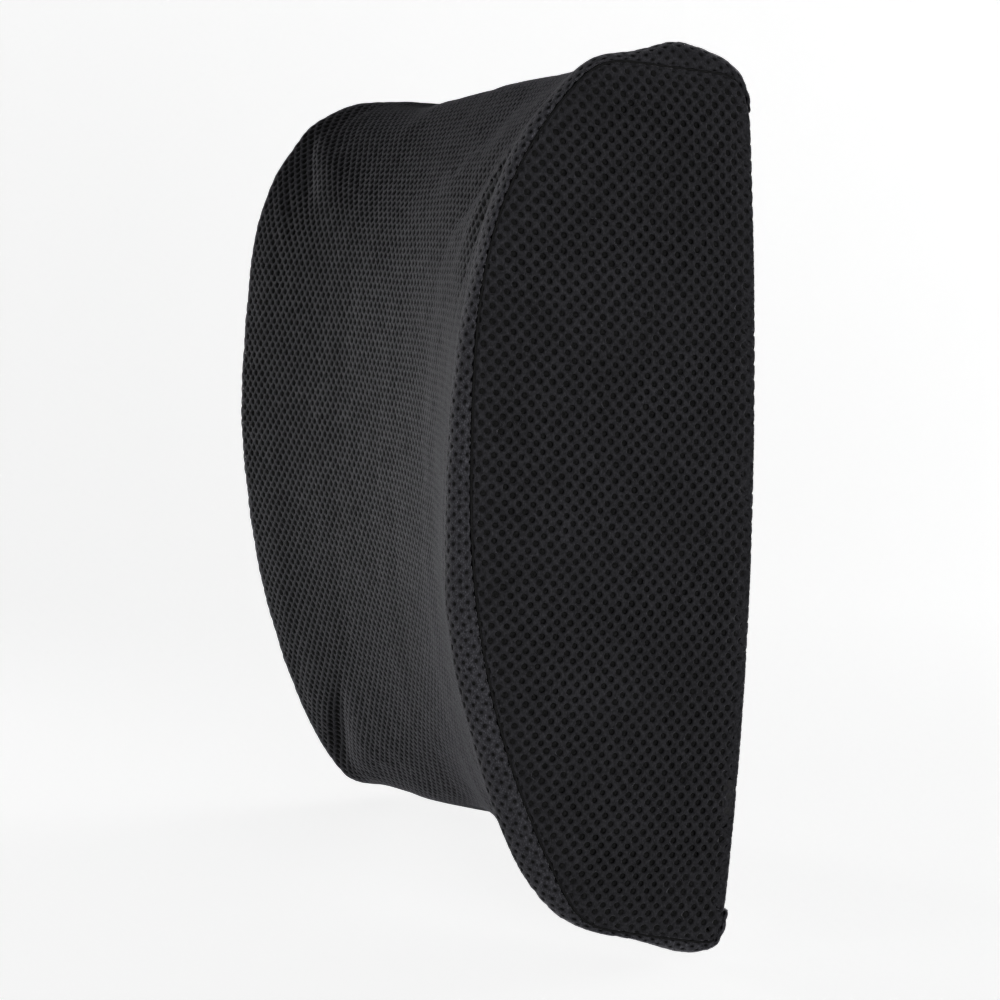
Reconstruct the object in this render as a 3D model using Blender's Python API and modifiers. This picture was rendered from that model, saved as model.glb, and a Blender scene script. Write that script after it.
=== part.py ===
"""Lumbar support cushion with a removable spacer-mesh cover, zip and buckled back strap.

Metres, +Z up. X runs across the cushion, the curved front faces -Y, the flat back faces +Y.
The origin is the middle of the bounding box's underside.

Shapes are worked out in the section's frame, where y = 0 and z = 0 are at the back corners'
line and mid-height of a side panel. at() moves a point from there into place.
A box is three pairs of limits, (x, y, z), in the section's frame.
"""

import math

import bmesh
import bpy
import numpy as np

# ---- overall sizes -------------------------------------------------------------------------
WIDTH = 0.330  # over the two D-shaped side panels
SEAM_HEIGHT = 0.320  # height of a side panel along its back edge
SEAM_DEPTH = 0.1002  # depth of a side panel at its fullest, forward of y = 0
APEX_Z = 0.0182  # height of the fullest point above mid-height
TOP_DEPTH = 0.0547  # depth of the flat top edge
BOTTOM_DEPTH = 0.0542  # depth of the flat bottom edge
TOP_SLOPE = 0.0844  # rise of the top edge per metre towards the front
BOTTOM_SLOPE = 0.1836  # rise of the bottom edge per metre towards the front
UPPER_POWER = 3.434  # fullness of the curve above the apex
LOWER_POWER = 2.179  # fullness of the curve below the apex
CORNER = 0.0147  # softness of the corners
BACK_Y = 0.0045  # the back face
CREST_INSET = 0.010  # from the end of the cushion to the crest of its rim
CREST_RISE = 0.0065  # the rim stands this far proud of the seam
MIDDLE_RISE = -0.0025  # the same half-way across, where the cover pulls in
MIDDLE_DEPTH = 0.0829  # depth half-way across, at the apex
RECESS_POWER = 2.05  # shape of the hollow across the width
BUCKLE_TOP = 0.0083  # height of the buckle over the back face

# ---- layers --------------------------------------------------------------------------------
FABRIC = 0.0030  # spacer mesh
GAP = 0.0003  # clearance between neighbours
LINER_INSET = 0.0048
LINER = 0.0008
FOAM_INSET = 0.0068
END_RADIUS = 0.012  # rounding at the ends of the foam and liner
END_DROP = 0.6  # share of that rounding which is applied
BACK_EDGE_Z = 0.1470  # the back panel is sewn to the wrap at this height, up and down
ZIP_Z = -0.105

HALF = WIDTH / 2
CREST = HALF - CREST_INSET
WRAP_END = HALF - FABRIC - GAP
FOAM_END = HALF - FOAM_INSET
LINER_END = HALF - LINER_INSET


# ---- the section ---------------------------------------------------------------------------
def front_curve(edge_z, edge_depth, power, shares):
    """Points of the front from the apex (share 0) to an edge (share 1)."""
    bulge = SEAM_DEPTH - edge_depth
    return [
        (-(edge_depth + bulge * (1 - share**power)), APEX_Z + (edge_z - APEX_Z) * share)
        for share in shares
    ]


def raw_section():
    """Closed D-shaped loop of (y, z): back top corner, top, front, bottom, back."""
    h = SEAM_HEIGHT / 2
    top_z = h + TOP_SLOPE * TOP_DEPTH
    bottom_z = -h + BOTTOM_SLOPE * BOTTOM_DEPTH
    return np.vstack([
        np.linspace((0, h), (-TOP_DEPTH, top_z), 40)[:-1],
        front_curve(top_z, TOP_DEPTH, UPPER_POWER, np.linspace(1, 0, 160)),
        front_curve(bottom_z, BOTTOM_DEPTH, LOWER_POWER, np.linspace(0, 1, 160)[1:]),
        np.linspace((-BOTTOM_DEPTH, bottom_z), (0, -h), 40)[1:],
        np.linspace((0, -h), (BACK_Y, -h), 6)[1:],
        np.linspace((BACK_Y, -h), (BACK_Y, h), 150)[1:],
        np.linspace((BACK_Y, h), (0, h), 6)[1:-1],
    ])


def smooth_section(samples=1200):
    """The same loop with its corners softened, at even steps along its length."""
    raw = raw_section()
    closed = np.vstack([raw, raw[:1]])
    along = np.concatenate([[0], np.cumsum(np.hypot(*np.diff(closed, axis=0).T))])
    steps = np.linspace(0, along[-1], samples, endpoint=False)
    loop = np.stack([np.interp(steps, along, closed[:, axis]) for axis in (0, 1)], 1)
    sigma = CORNER / (along[-1] / samples) * 0.5
    reach = int(sigma * 4)
    offsets = np.arange(-reach, reach + 1)
    weight = np.exp(-(offsets**2) / (2 * sigma**2))
    weight /= weight.sum()
    padded = np.vstack([loop[-reach:], loop, loop[:reach]])
    return np.stack([np.convolve(padded[:, axis], weight, "valid") for axis in (0, 1)], 1)


def outward(loop):
    """Unit normals of a closed loop, pointing out."""
    step = np.roll(loop, -1, 0) - np.roll(loop, 1, 0)
    step /= np.linalg.norm(step, axis=1)[:, None]
    normal = np.stack([step[:, 1], -step[:, 0]], 1)
    return normal if ((loop - loop.mean(0)) * normal).sum() > 0 else -normal


SECTION = smooth_section()
SECTION_NORMAL = outward(SECTION)
SAMPLES = len(SECTION)
TURN_LENGTH = 0.055  # length of straight that a full unit of turn counts for in pick()


def pick(first, last, count):
    """Indices into SECTION from first to last, closer together where it bends."""
    order = np.arange(first, last + 1) % SAMPLES
    before, after = SECTION_NORMAL[order[:-1]], SECTION_NORMAL[order[1:]]
    turn = np.abs(before[:, 0] * after[:, 1] - before[:, 1] * after[:, 0])
    length = np.linalg.norm(SECTION[order[1:]] - SECTION[order[:-1]], axis=1)
    weight = np.concatenate([[0], np.cumsum(turn * TURN_LENGTH + length)])
    wanted = np.linspace(0, weight[-1], count)
    places = np.interp(wanted, weight, np.arange(len(order)))
    return order[np.round(places).astype(int)]


def rim(x):
    """(share of the way from the middle to the crest, rise over the seam line) at x."""
    if abs(x) <= CREST:
        share = (abs(x) / CREST) ** RECESS_POWER
        return share, MIDDLE_RISE + (CREST_RISE - MIDDLE_RISE) * share
    to_end = max(0.0, (HALF - abs(x)) / CREST_INSET)
    return 1.0, CREST_RISE * math.sin(math.pi / 2 * to_end)


def section_at(x, indices, inset=0.0, rise=None):
    """Points (y, z) of the section at x, moved in by inset; rise replaces the rim's own."""
    share, rim_rise = rim(x)
    if rise is None:
        rise = rim_rise
    middle = (MIDDLE_DEPTH - MIDDLE_RISE) / SEAM_DEPTH
    scale = middle + (1 - middle) * share
    points, normals = SECTION[indices].copy(), SECTION_NORMAL[indices]
    points[:, 0] = np.where(points[:, 0] < 0, points[:, 0] * scale, points[:, 0])
    # the back face stays flat
    lift = np.stack([np.minimum(normals[:, 0], 0), normals[:, 1]], 1)
    points = points + rise * lift - inset * normals
    points[:, 0] = np.minimum(points[:, 0], BACK_Y - inset)
    return points


CREST_SECTION = section_at(CREST, np.arange(SAMPLES))
SHIFT_Y = -(CREST_SECTION[:, 0].min() + BACK_Y + BUCKLE_TOP) / 2
SHIFT_Z = -CREST_SECTION[:, 1].min()


def at(x, y, z):
    """A point of the section's frame, in place."""
    return (x, y + SHIFT_Y, z + SHIFT_Z)


# ---- scene and materials -------------------------------------------------------------------
for old in list(bpy.data.objects):
    bpy.data.objects.remove(old)
PARTS = bpy.data.collections.new("lumbar_cushion")
CUTTERS = bpy.data.collections.new("cutters")
for group in (PARTS, CUTTERS):
    bpy.context.scene.collection.children.link(group)


def material(name, colour, roughness, metallic=0.0):
    mat = bpy.data.materials.new(name)
    mat.use_nodes = True
    shader = mat.node_tree.nodes["Principled BSDF"]
    shader.inputs["Base Color"].default_value = (*colour, 1)
    shader.inputs["Roughness"].default_value = roughness
    shader.inputs["Metallic"].default_value = metallic
    mat.diffuse_color = (*colour, 1)
    return mat


def black_fabric(name, roughness=0.9, level=0.016):
    return material(name, (level, level, level * 1.08), roughness)


def dark_metal(name, level, roughness):
    return material(name, (level, level, level + 0.005), roughness, metallic=0.9)


def black_plastic(name):
    return material(name, colour=(0.012, 0.012, 0.013), roughness=0.4)


# ---- helpers -------------------------------------------------------------------------------
def span(half, centre=0.0):
    """Limits at half either way from centre."""
    return centre - half, centre + half


def one_side(sign, near, far, centre=0.0):
    """Limits from near to far on one side of centre."""
    return sorted((centre + sign * near, centre + sign * far))


def finish_mesh(bm, name):
    bmesh.ops.recalc_face_normals(bm, faces=bm.faces[:])
    return to_mesh(bm, name)


def to_mesh(bm, name):
    mesh = bpy.data.meshes.new(name)
    bm.to_mesh(mesh)
    bm.free()
    return mesh


def add(name, mesh, mat=None, origin=(0, 0, 0), smooth=False, collection=PARTS):
    """Links a mesh whose vertices are in world space as an object with the given origin."""
    obj = bpy.data.objects.new(name, mesh)
    collection.objects.link(obj)
    for v in mesh.vertices:
        v.co = [value - start for value, start in zip(v.co, origin)]
    obj.location = origin
    if mat:
        mesh.materials.append(mat)
    if smooth:
        mesh.shade_smooth()
        mesh.set_sharp_from_angle(angle=math.radians(40))
    return obj


def box_mesh(name, box):
    bm = bmesh.new()
    bmesh.ops.create_cube(bm, size=1.0)
    for v in bm.verts:
        v.co = at(*(limits[value > 0] for limits, value in zip(box, v.co)))
    return to_mesh(bm, name)


def solid(name, box, mat, bevel=0.0, origin=(0, 0, 0)):
    obj = add(name, box_mesh(name, box), mat, origin)
    if bevel:
        edges = obj.modifiers.new("edges", "BEVEL")
        edges.width = bevel
        edges.segments = 2
        edges.limit_method = "NONE"
    return obj


def combine(obj, operation, word, boxes):
    """One boolean modifier and one hidden helper object for each box."""
    for i, box in enumerate(boxes):
        name = f"{obj.name}_{word}_{i}"
        helper = add(name, box_mesh(name, box), collection=CUTTERS)
        helper.hide_render = True
        helper.display_type = "WIRE"
        modifier = obj.modifiers.new(operation.lower(), "BOOLEAN")
        modifier.operation = operation
        modifier.solver = "EXACT"
        modifier.object = helper


def cut(obj, *boxes):
    combine(obj, "DIFFERENCE", "cut", boxes)


def join(obj, *boxes):
    combine(obj, "UNION", "add", boxes)


def solidify(obj, thickness, offset=-1, even=True):
    modifier = obj.modifiers.new("thickness", "SOLIDIFY")
    modifier.thickness = thickness
    modifier.offset = offset
    modifier.use_even_offset = even
    modifier.use_rim = True


def loft(rows, closed):
    """A surface through rows of points; closed rows make a tube capped at both ends."""
    bm = bmesh.new()
    verts = [[bm.verts.new(point) for point in row] for row in rows]
    count = len(rows[0])
    for row, following in zip(verts, verts[1:]):
        for i in range(count if closed else count - 1):
            j = (i + 1) % count
            bm.faces.new((row[i], row[j], following[j], following[i]))
    if closed:
        bm.faces.new(verts[0])
        bm.faces.new(list(reversed(verts[-1])))
    return bm


def stations(*half):
    """Places across the width, mirrored about the middle."""
    return sorted({-x for x in half} | set(half))


# ---- foam core and liner -------------------------------------------------------------------
FOAM_X = stations(0, 0.042, 0.080, 0.112, 0.136, 0.1475, 0.1545, FOAM_END)
SLIT_REACH_X = 0.10  # the liner's slit lies within this of the middle
SLIT_REACH_Z = 0.030  # and within this of the zip's height


def rounded_rise(x, end):
    """Rise for a block whose end edges are rounded: it drops towards the end."""
    rise = rim(min(abs(x), CREST))[1]
    into_round = END_RADIUS - max(0.0, end - abs(x))
    if into_round <= 0:
        return rise
    return rise - (END_RADIUS - math.sqrt(END_RADIUS**2 - into_round**2)) * END_DROP


def block(end, places, inset):
    """The whole section lofted through places, moved in by inset."""
    ring = pick(0, SAMPLES, 41)[:-1]
    rows = [
        [at(x, y, z) for y, z in section_at(x, ring, inset, rounded_rise(x, end))]
        for x in places
    ]
    return loft(rows, closed=True)


def build_foam():
    mesh = finish_mesh(block(FOAM_END, FOAM_X, FOAM_INSET), "foam_core")
    foam = material("foam", colour=(0.78, 0.72, 0.55), roughness=0.95)
    add("foam_core", mesh, foam, smooth=True)


def cut_slit(bm):
    """Opens the row of back faces nearest the zip's height."""
    _, back_y, zip_z = at(0, BACK_Y - LINER_INSET, ZIP_Z)
    centres = {}
    for face in bm.faces:
        centre = face.calc_center_median()
        on_back = abs(centre.y - back_y) < 1e-4
        near_zip = abs(centre.z - zip_z) < SLIT_REACH_Z
        if on_back and near_zip and abs(centre.x) < SLIT_REACH_X:
            centres[face] = centre
    slit_z = min((centre.z for centre in centres.values()), key=lambda z: abs(z - zip_z))
    slit = [face for face, centre in centres.items() if abs(centre.z - slit_z) < 1e-3]
    bmesh.ops.delete(bm, geom=slit, context="FACES")


def build_liner():
    """A thin bag around the foam with a slit low on the back."""
    bm = block(LINER_END, [x * LINER_END / FOAM_END for x in FOAM_X], LINER_INSET)
    cut_slit(bm)
    mat = material("liner", colour=(0.62, 0.62, 0.60), roughness=0.9)
    liner = add("inner_liner", finish_mesh(bm, "inner_liner"), mat, smooth=True)
    solidify(liner, LINER, even=False)


# ---- cover ---------------------------------------------------------------------------------
SEWN_BACK = [
    i
    for i in range(SAMPLES // 2, SAMPLES)
    if abs(SECTION[i, 0] - BACK_Y) < 2e-4 and abs(SECTION[i, 1]) <= BACK_EDGE_Z
]
TOP_END, BOTTOM_END = SEWN_BACK[-1], SEWN_BACK[0]  # where the wrap ends on the back
WRAP_X = stations(0, 0.030, 0.060, 0.088, 0.113, 0.133, 0.147, 0.1550, 0.1592, WRAP_END)
PANEL_EDGE_Z = min(SECTION[TOP_END, 1], -SECTION[BOTTOM_END, 1]) - 0.0007
ZIP_SLOT = 0.0075  # half the gap between the two back panels
BAND_PULL = 0.0004  # the strap pulls the back panel in this far
BAND_HALF_HEIGHT = 0.024
BAND_FADE_Z = 0.048  # the panel is back at full depth from here up


def build_wrap():
    """Front, top and bottom in one piece, turning a little way onto the back."""
    strip = pick(TOP_END, BOTTOM_END + SAMPLES, 38)
    rows = [[at(x, y, z) for y, z in section_at(x, strip)] for x in WRAP_X]
    mesh = finish_mesh(loft(rows, closed=False), "wrap_panel")
    front = min(mesh.polygons, key=lambda face: face.center[1])
    if front.normal[1] > 0:
        mesh.flip_normals()
    wrap = add("wrap_panel", mesh, black_fabric("mesh_wrap"), smooth=True)
    solidify(wrap, FABRIC)


def build_side_panel(word, sign):
    """A flat D shape: a filled curve stood up across the end of the cushion."""
    outline = section_at(HALF, pick(0, SAMPLES, 57)[:-1], rise=0.0)
    name = f"side_panel_{word}"
    curve = bpy.data.curves.new(name, "CURVE")
    curve.dimensions = "2D"
    curve.fill_mode = "BOTH"
    curve.extrude = FABRIC / 2
    spline = curve.splines.new("POLY")
    spline.points.add(len(outline) - 1)
    for point, (y, z) in zip(spline.points, outline):
        point.co = (y + SHIFT_Y, z + SHIFT_Z, 0, 1)
    spline.use_cyclic_u = True
    curve.materials.append(black_fabric(f"mesh_side_{word}"))
    obj = bpy.data.objects.new(name, curve)
    PARTS.objects.link(obj)
    obj.rotation_euler = (math.pi / 2, 0, math.pi / 2)
    obj.location = (sign * (HALF - FABRIC / 2), 0, 0)


def build_back_panel(name, rows):
    """A back panel through rows of (height, how far the surface is pulled in there)."""
    layers = len(rows) - 1
    bm = bmesh.new()
    bmesh.ops.create_grid(bm, x_segments=3, y_segments=layers, size=0.5)
    for v in bm.verts:
        z, pulled = rows[round((v.co.y + 0.5) * layers)]
        v.co = at(2 * WRAP_END * v.co.x, BACK_Y - pulled, z)
    mesh = finish_mesh(bm, name)
    if mesh.polygons[0].normal[1] < 0:
        mesh.flip_normals()
    solidify(add(name, mesh, black_fabric(f"mesh_{name}")), FABRIC)


def build_cover():
    build_wrap()
    build_side_panel("right", 1)
    build_side_panel("left", -1)
    build_back_panel("back_panel_upper", [
        (ZIP_Z + ZIP_SLOT, 0),
        (-BAND_HALF_HEIGHT, BAND_PULL),
        (BAND_HALF_HEIGHT, BAND_PULL),
        (BAND_FADE_Z, 0),
        (PANEL_EDGE_Z, 0),
    ])
    build_back_panel("back_panel_lower", [(-PANEL_EDGE_Z, 0), (ZIP_Z - ZIP_SLOT, 0)])


# ---- zip -----------------------------------------------------------------------------------
COIL_END = 0.1445  # half the coil's length
COIL_NEAR, COIL_FAR = 0.00015, 0.0021  # a coil's edges, from the zip's centre line
COIL_TOP = BACK_Y - 0.0012
COIL_LOW = BACK_Y - FABRIC
TAPE_END = 0.157
TAPE_NEAR, TAPE_FAR = 0.0004, 0.0125
TAPE = 0.0007
TAPE_OUT = COIL_LOW - GAP
STOP_LENGTH = 0.0035  # including the gap to the coil
STOP_HALF = 0.0026
STOP_TOP = BACK_Y - 0.0008

SLIDER_X = 0.138
SLIDER_HALF_LENGTH = 0.0055
SLIDER_HALF_HEIGHT = 0.0042
PLATE = 0.0012
PLATE_LOW = COIL_TOP + GAP
PLATE_TOP = PLATE_LOW + PLATE
PLATE_MIDDLE = PLATE_LOW + PLATE / 2
RAIL_INSET = 0.0008  # the rails under the plate stop this short of its ends
RAIL_NEAR, RAIL_FAR = 0.0025, 0.0036
PIN_Y = PLATE_TOP + 0.0013  # the pull's turning axis
BRIDGE_HALF, BRIDGE_RISE = 0.0046, 0.0020  # outside of the bridge, rise from the pin axis
ARCH_HALF, ARCH_RISE = 0.0036, 0.0010  # opening under the bridge
PULL_LENGTH = 0.024
PULL_HALF = 0.00065  # half the pull's thickness


def build_tapes_and_coils():
    for word, sign in (("upper", 1), ("lower", -1)):
        tape_z = one_side(sign, TAPE_NEAR, TAPE_FAR, ZIP_Z)
        tape = black_fabric(f"tape_{word}", roughness=0.85, level=0.02)
        solid(f"zip_tape_{word}", (span(TAPE_END), (TAPE_OUT - TAPE, TAPE_OUT), tape_z), tape)
        coil_z = one_side(sign, COIL_NEAR, COIL_FAR, ZIP_Z)
        coil = black_fabric(f"coil_{word}", roughness=0.45, level=0.02)
        box = (span(COIL_END), (COIL_LOW, COIL_TOP), coil_z)
        solid(f"zip_coil_{word}", box, coil, bevel=0.0005)


def build_stops():
    for word, sign in (("left", -1), ("right", 1)):
        stop_x = one_side(sign, COIL_END + GAP, COIL_END + STOP_LENGTH)
        box = (stop_x, (COIL_LOW, STOP_TOP), span(STOP_HALF, ZIP_Z))
        metal = dark_metal(f"stop_{word}", level=0.10, roughness=0.4)
        solid(f"zip_stop_{word}", box, metal, bevel=0.0003)


def build_slider():
    """A plate with two rails under it and a bridge over it for the pull."""
    plate_x = span(SLIDER_HALF_LENGTH, SLIDER_X)
    slider = solid(
        "zip_slider",
        (plate_x, (PLATE_LOW, PLATE_TOP), span(SLIDER_HALF_HEIGHT, ZIP_Z)),
        dark_metal("slider", level=0.06, roughness=0.35),
        origin=at(SLIDER_X, PIN_Y, ZIP_Z),
    )
    rail_x = span(SLIDER_HALF_LENGTH - RAIL_INSET, SLIDER_X)
    rails = [
        (rail_x, (COIL_LOW, PLATE_MIDDLE), one_side(sign, RAIL_NEAR, RAIL_FAR, ZIP_Z))
        for sign in (-1, 1)
    ]
    bridge_y = (PLATE_MIDDLE, PIN_Y + BRIDGE_RISE)
    join(slider, *rails, (span(BRIDGE_HALF, SLIDER_X), bridge_y, span(0.0010, ZIP_Z)))
    arch_y = (PLATE_TOP, PIN_Y + ARCH_RISE)
    cut(slider, (span(ARCH_HALF, SLIDER_X), arch_y, span(0.0015, ZIP_Z)))


def build_pull():
    """A flat tab with a window for the slider's bridge."""
    pull_x = (SLIDER_X - PULL_LENGTH, SLIDER_X + PULL_HALF)
    pull = solid(
        "zip_pull",
        (pull_x, span(PULL_HALF, PIN_Y), span(0.0034, ZIP_Z)),
        dark_metal("pull", level=0.05, roughness=0.35),
        origin=at(SLIDER_X, PIN_Y, ZIP_Z),
    )
    window_x = (SLIDER_X - 0.0068, SLIDER_X - PULL_HALF)
    cut(pull, (window_x, span(0.003, PIN_Y), span(0.0018, ZIP_Z)))


# ---- strap ---------------------------------------------------------------------------------
STRAP_HALF = 0.0125  # half the webbing's width
STRAP = 0.0010
STRAP_END_X = 0.150
RAMP_FOOT_X, RAMP_HEAD_X = 0.128, 0.121  # the webbing leaves the back between these
ANCHOR_NEAR_X = 0.129
ANCHOR = 0.0009
ANCHOR_HALF = 0.0165
ADJUSTER_X = -0.085
BUCKLE_END = 0.0360  # outer end of each buckle half
SLOT_END = 0.0336  # outer end of each webbing slot; the bar lies beyond it
BAR_X = (SLOT_END + BUCKLE_END) / 2
# heights of the webbing's centre line
SEWN_Y = BACK_Y + GAP + STRAP / 2
RUN_Y = BACK_Y + 0.0021  # over the adjuster's end bars
BAR_TOP_Y = BACK_Y + 0.0059  # beyond a buckle's bar
ADJUST_LOW_Y, ADJUST_TOP_Y = BACK_Y + 0.0034, BACK_Y + 0.0064  # either side of its middle bar


def turn_round(centre_x, low_y, high_y, start, end):
    """A half circle of (x, y) between two heights, from one angle in degrees to another."""
    radius = (high_y - low_y) / 2
    return [
        (centre_x + radius * math.cos(angle), low_y + radius + radius * math.sin(angle))
        for angle in np.radians(np.linspace(start, end, 8))
    ]


def build_webbing(word, sign, tail):
    """Webbing from its sewn end round the buckle's bar, then along tail.

    Paths are (distance from the middle of the cushion, y).
    """
    path = [
        (STRAP_END_X, SEWN_Y),
        (RAMP_FOOT_X, SEWN_Y),
        ((RAMP_FOOT_X + RAMP_HEAD_X) / 2, (SEWN_Y + RUN_Y) / 2),
        (RAMP_HEAD_X, RUN_Y),
        *turn_round(BAR_X - 0.0018, RUN_Y, BAR_TOP_Y, 270, 90),
        *tail,
    ]
    bm = bmesh.new()
    verts = [bm.verts.new(at(sign * x, y, -STRAP_HALF)) for x, y in path]
    edges = [bm.edges.new(pair) for pair in zip(verts, verts[1:])]
    for item in bmesh.ops.extrude_edge_only(bm, edges=edges)["geom"]:
        if isinstance(item, bmesh.types.BMVert):
            item.co.z += 2 * STRAP_HALF
    name = f"strap_{word}"
    webbing = black_fabric(f"webbing_{word}", roughness=0.8, level=0.02)
    solidify(add(name, finish_mesh(bm, name), webbing), STRAP, offset=0)


def build_strap():
    build_webbing("left", -1, [
        (0.045, BAR_TOP_Y + 0.0002),
        (0.060, ADJUST_TOP_Y),
        *turn_round(-ADJUSTER_X + 0.0012, ADJUST_LOW_Y, ADJUST_TOP_Y, 90, -90),
        (-ADJUSTER_X - 0.012, ADJUST_LOW_Y),
    ])
    tail_y = BACK_Y + 0.0034
    build_webbing("right", 1, [(0.042, BAR_TOP_Y), (0.052, tail_y), (0.078, tail_y)])


def build_anchors():
    """A flat patch over each sewn end."""
    anchor_low = SEWN_Y + STRAP / 2 + GAP
    for word, sign in (("left", -1), ("right", 1)):
        anchor_x = one_side(sign, ANCHOR_NEAR_X, STRAP_END_X)
        box = (anchor_x, (anchor_low, anchor_low + ANCHOR), span(ANCHOR_HALF))
        fabric = black_fabric(f"anchor_{word}", roughness=0.85, level=0.018)
        solid(f"strap_anchor_{word}", box, fabric)


# ---- buckle: female half on the left, male half on the right -------------------------------
BUCKLE_LOW, BUCKLE_HIGH = BACK_Y + GAP, BACK_Y + BUCKLE_TOP
BUCKLE_Z = span(0.0168)
BUCKLE_BEVEL = 0.0011
SLOT_Z = span(0.0137)
BAR_LOW, BAR_HIGH = BACK_Y + 0.0029, BACK_Y + 0.0051
BEYOND = 0.01  # cutters run this far past the faces they cut through
PRONG_ROOT_X = 0.0090


def webbing_slot(sign, near):
    """Boxes that cut a slot for the webbing and thin the bar beyond it."""
    low, high = BUCKLE_LOW - BEYOND, BUCKLE_HIGH + BEYOND
    bar_x = one_side(sign, 0.0300, 0.0420)
    return [
        (one_side(sign, near, SLOT_END), (low, high), SLOT_Z),
        (bar_x, (low, BAR_LOW), SLOT_Z),
        (bar_x, (BAR_HIGH, high), SLOT_Z),
    ]


def buckle_depth(wall):
    return BUCKLE_LOW + wall, BUCKLE_HIGH - wall


def build_buckle_female():
    body = ((-BUCKLE_END, 0.0040), buckle_depth(0), BUCKLE_Z)
    female = solid("buckle_female", body, black_plastic("buckle"), BUCKLE_BEVEL)
    slot, *bar_cuts = webbing_slot(-1, near=0.0255)
    pocket = ((-0.0220, 0.0100), buckle_depth(0.0016), span(0.0132))
    side_windows = ((-0.0150, -0.0040), buckle_depth(0.0019), span(0.0300))
    cut(female, slot, pocket, side_windows, *bar_cuts)


def build_buckle_male():
    body = ((0.0052, BUCKLE_END), buckle_depth(0), BUCKLE_Z)
    male = solid("buckle_male", body, black_plastic("buckle_male"), BUCKLE_BEVEL)
    cut(male, *webbing_slot(1, near=0.0240))
    prong_y = buckle_depth(0.0020)
    join(
        male,
        ((-0.0200, PRONG_ROOT_X), prong_y, span(0.0020)),
        *(((-0.0185, PRONG_ROOT_X), prong_y, one_side(s, 0.0084, 0.0120)) for s in (1, -1)),
    )


# ---- adjuster ------------------------------------------------------------------------------
ADJUSTER_HALF = 0.0115  # half its length along the strap


def build_adjuster():
    """Two rails, two end bars under the webbing, and a middle bar it turns round."""
    rail_x = span(ADJUSTER_HALF, ADJUSTER_X)
    rail_y = (BUCKLE_LOW, BACK_Y + 0.0056)
    upper_rail, lower_rail = (
        (rail_x, rail_y, one_side(sign, 0.0132, 0.0164)) for sign in (1, -1)
    )
    adjuster = solid(
        "strap_adjuster",
        upper_rail,
        black_plastic("adjuster"),
        origin=at(ADJUSTER_X, BACK_Y + 0.003, 0),
    )
    bar_z = span(0.0150)
    end_bar_y = (BUCKLE_LOW + 0.0001, BACK_Y + 0.0013)
    near, far = ADJUSTER_HALF - 0.0026, ADJUSTER_HALF - 0.0003
    end_bars = [(one_side(s, near, far, ADJUSTER_X), end_bar_y, bar_z) for s in (-1, 1)]
    middle_bar = (span(0.0014, ADJUSTER_X), (BACK_Y + 0.0042, BACK_Y + 0.0054), bar_z)
    join(adjuster, *end_bars, middle_bar, lower_rail)


build_foam()
build_liner()
build_cover()
build_tapes_and_coils()
build_stops()
build_slider()
build_pull()
build_strap()
build_anchors()
build_buckle_female()
build_buckle_male()
build_adjuster()
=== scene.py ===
"""Looks of a lumbar support cushion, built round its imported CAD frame.

The cover is perforated spacer mesh: every hole is geometry, on panels swelled by a cloth simulation
and rolled in at their seams. The back carries a coil zip and a buckled webbing strap.
Metres, +Z up, in the frame's own coordinates: X runs along the cushion (right is +X), the domed
front faces -Y and the flat back +Y. Sections are worked out in the cushion's own frame, whose
height is measured from mid-height and whose depth (y) from the side panels' back corners.
On a panel, `across` is length along X, and `along` is length round the section or height.
"""

import math

import bmesh
import bpy
import numpy as np
from mathutils import Matrix, Vector


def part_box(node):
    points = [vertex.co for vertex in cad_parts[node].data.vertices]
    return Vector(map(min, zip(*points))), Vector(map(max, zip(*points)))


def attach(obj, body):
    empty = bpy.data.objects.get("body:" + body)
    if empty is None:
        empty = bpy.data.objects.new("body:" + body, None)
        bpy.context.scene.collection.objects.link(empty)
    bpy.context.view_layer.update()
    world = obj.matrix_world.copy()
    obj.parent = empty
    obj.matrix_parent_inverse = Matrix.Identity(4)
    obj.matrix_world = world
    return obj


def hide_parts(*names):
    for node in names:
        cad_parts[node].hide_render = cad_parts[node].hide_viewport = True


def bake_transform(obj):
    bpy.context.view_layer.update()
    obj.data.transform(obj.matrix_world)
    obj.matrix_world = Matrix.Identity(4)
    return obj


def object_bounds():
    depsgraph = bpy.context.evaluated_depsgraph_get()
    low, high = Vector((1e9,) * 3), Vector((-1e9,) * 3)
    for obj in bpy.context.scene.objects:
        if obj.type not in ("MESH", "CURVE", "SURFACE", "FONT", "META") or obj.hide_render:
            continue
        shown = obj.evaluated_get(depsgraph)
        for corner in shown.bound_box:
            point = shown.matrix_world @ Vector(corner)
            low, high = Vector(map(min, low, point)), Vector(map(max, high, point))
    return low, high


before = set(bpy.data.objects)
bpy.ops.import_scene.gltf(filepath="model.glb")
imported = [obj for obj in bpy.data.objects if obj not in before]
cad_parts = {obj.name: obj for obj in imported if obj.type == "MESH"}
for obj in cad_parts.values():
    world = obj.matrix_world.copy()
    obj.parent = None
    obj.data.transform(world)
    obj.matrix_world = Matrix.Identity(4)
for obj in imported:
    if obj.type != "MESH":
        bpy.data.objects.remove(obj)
CAD_BOX = [list(corner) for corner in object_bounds()]
RNG = np.random.default_rng(11)

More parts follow.
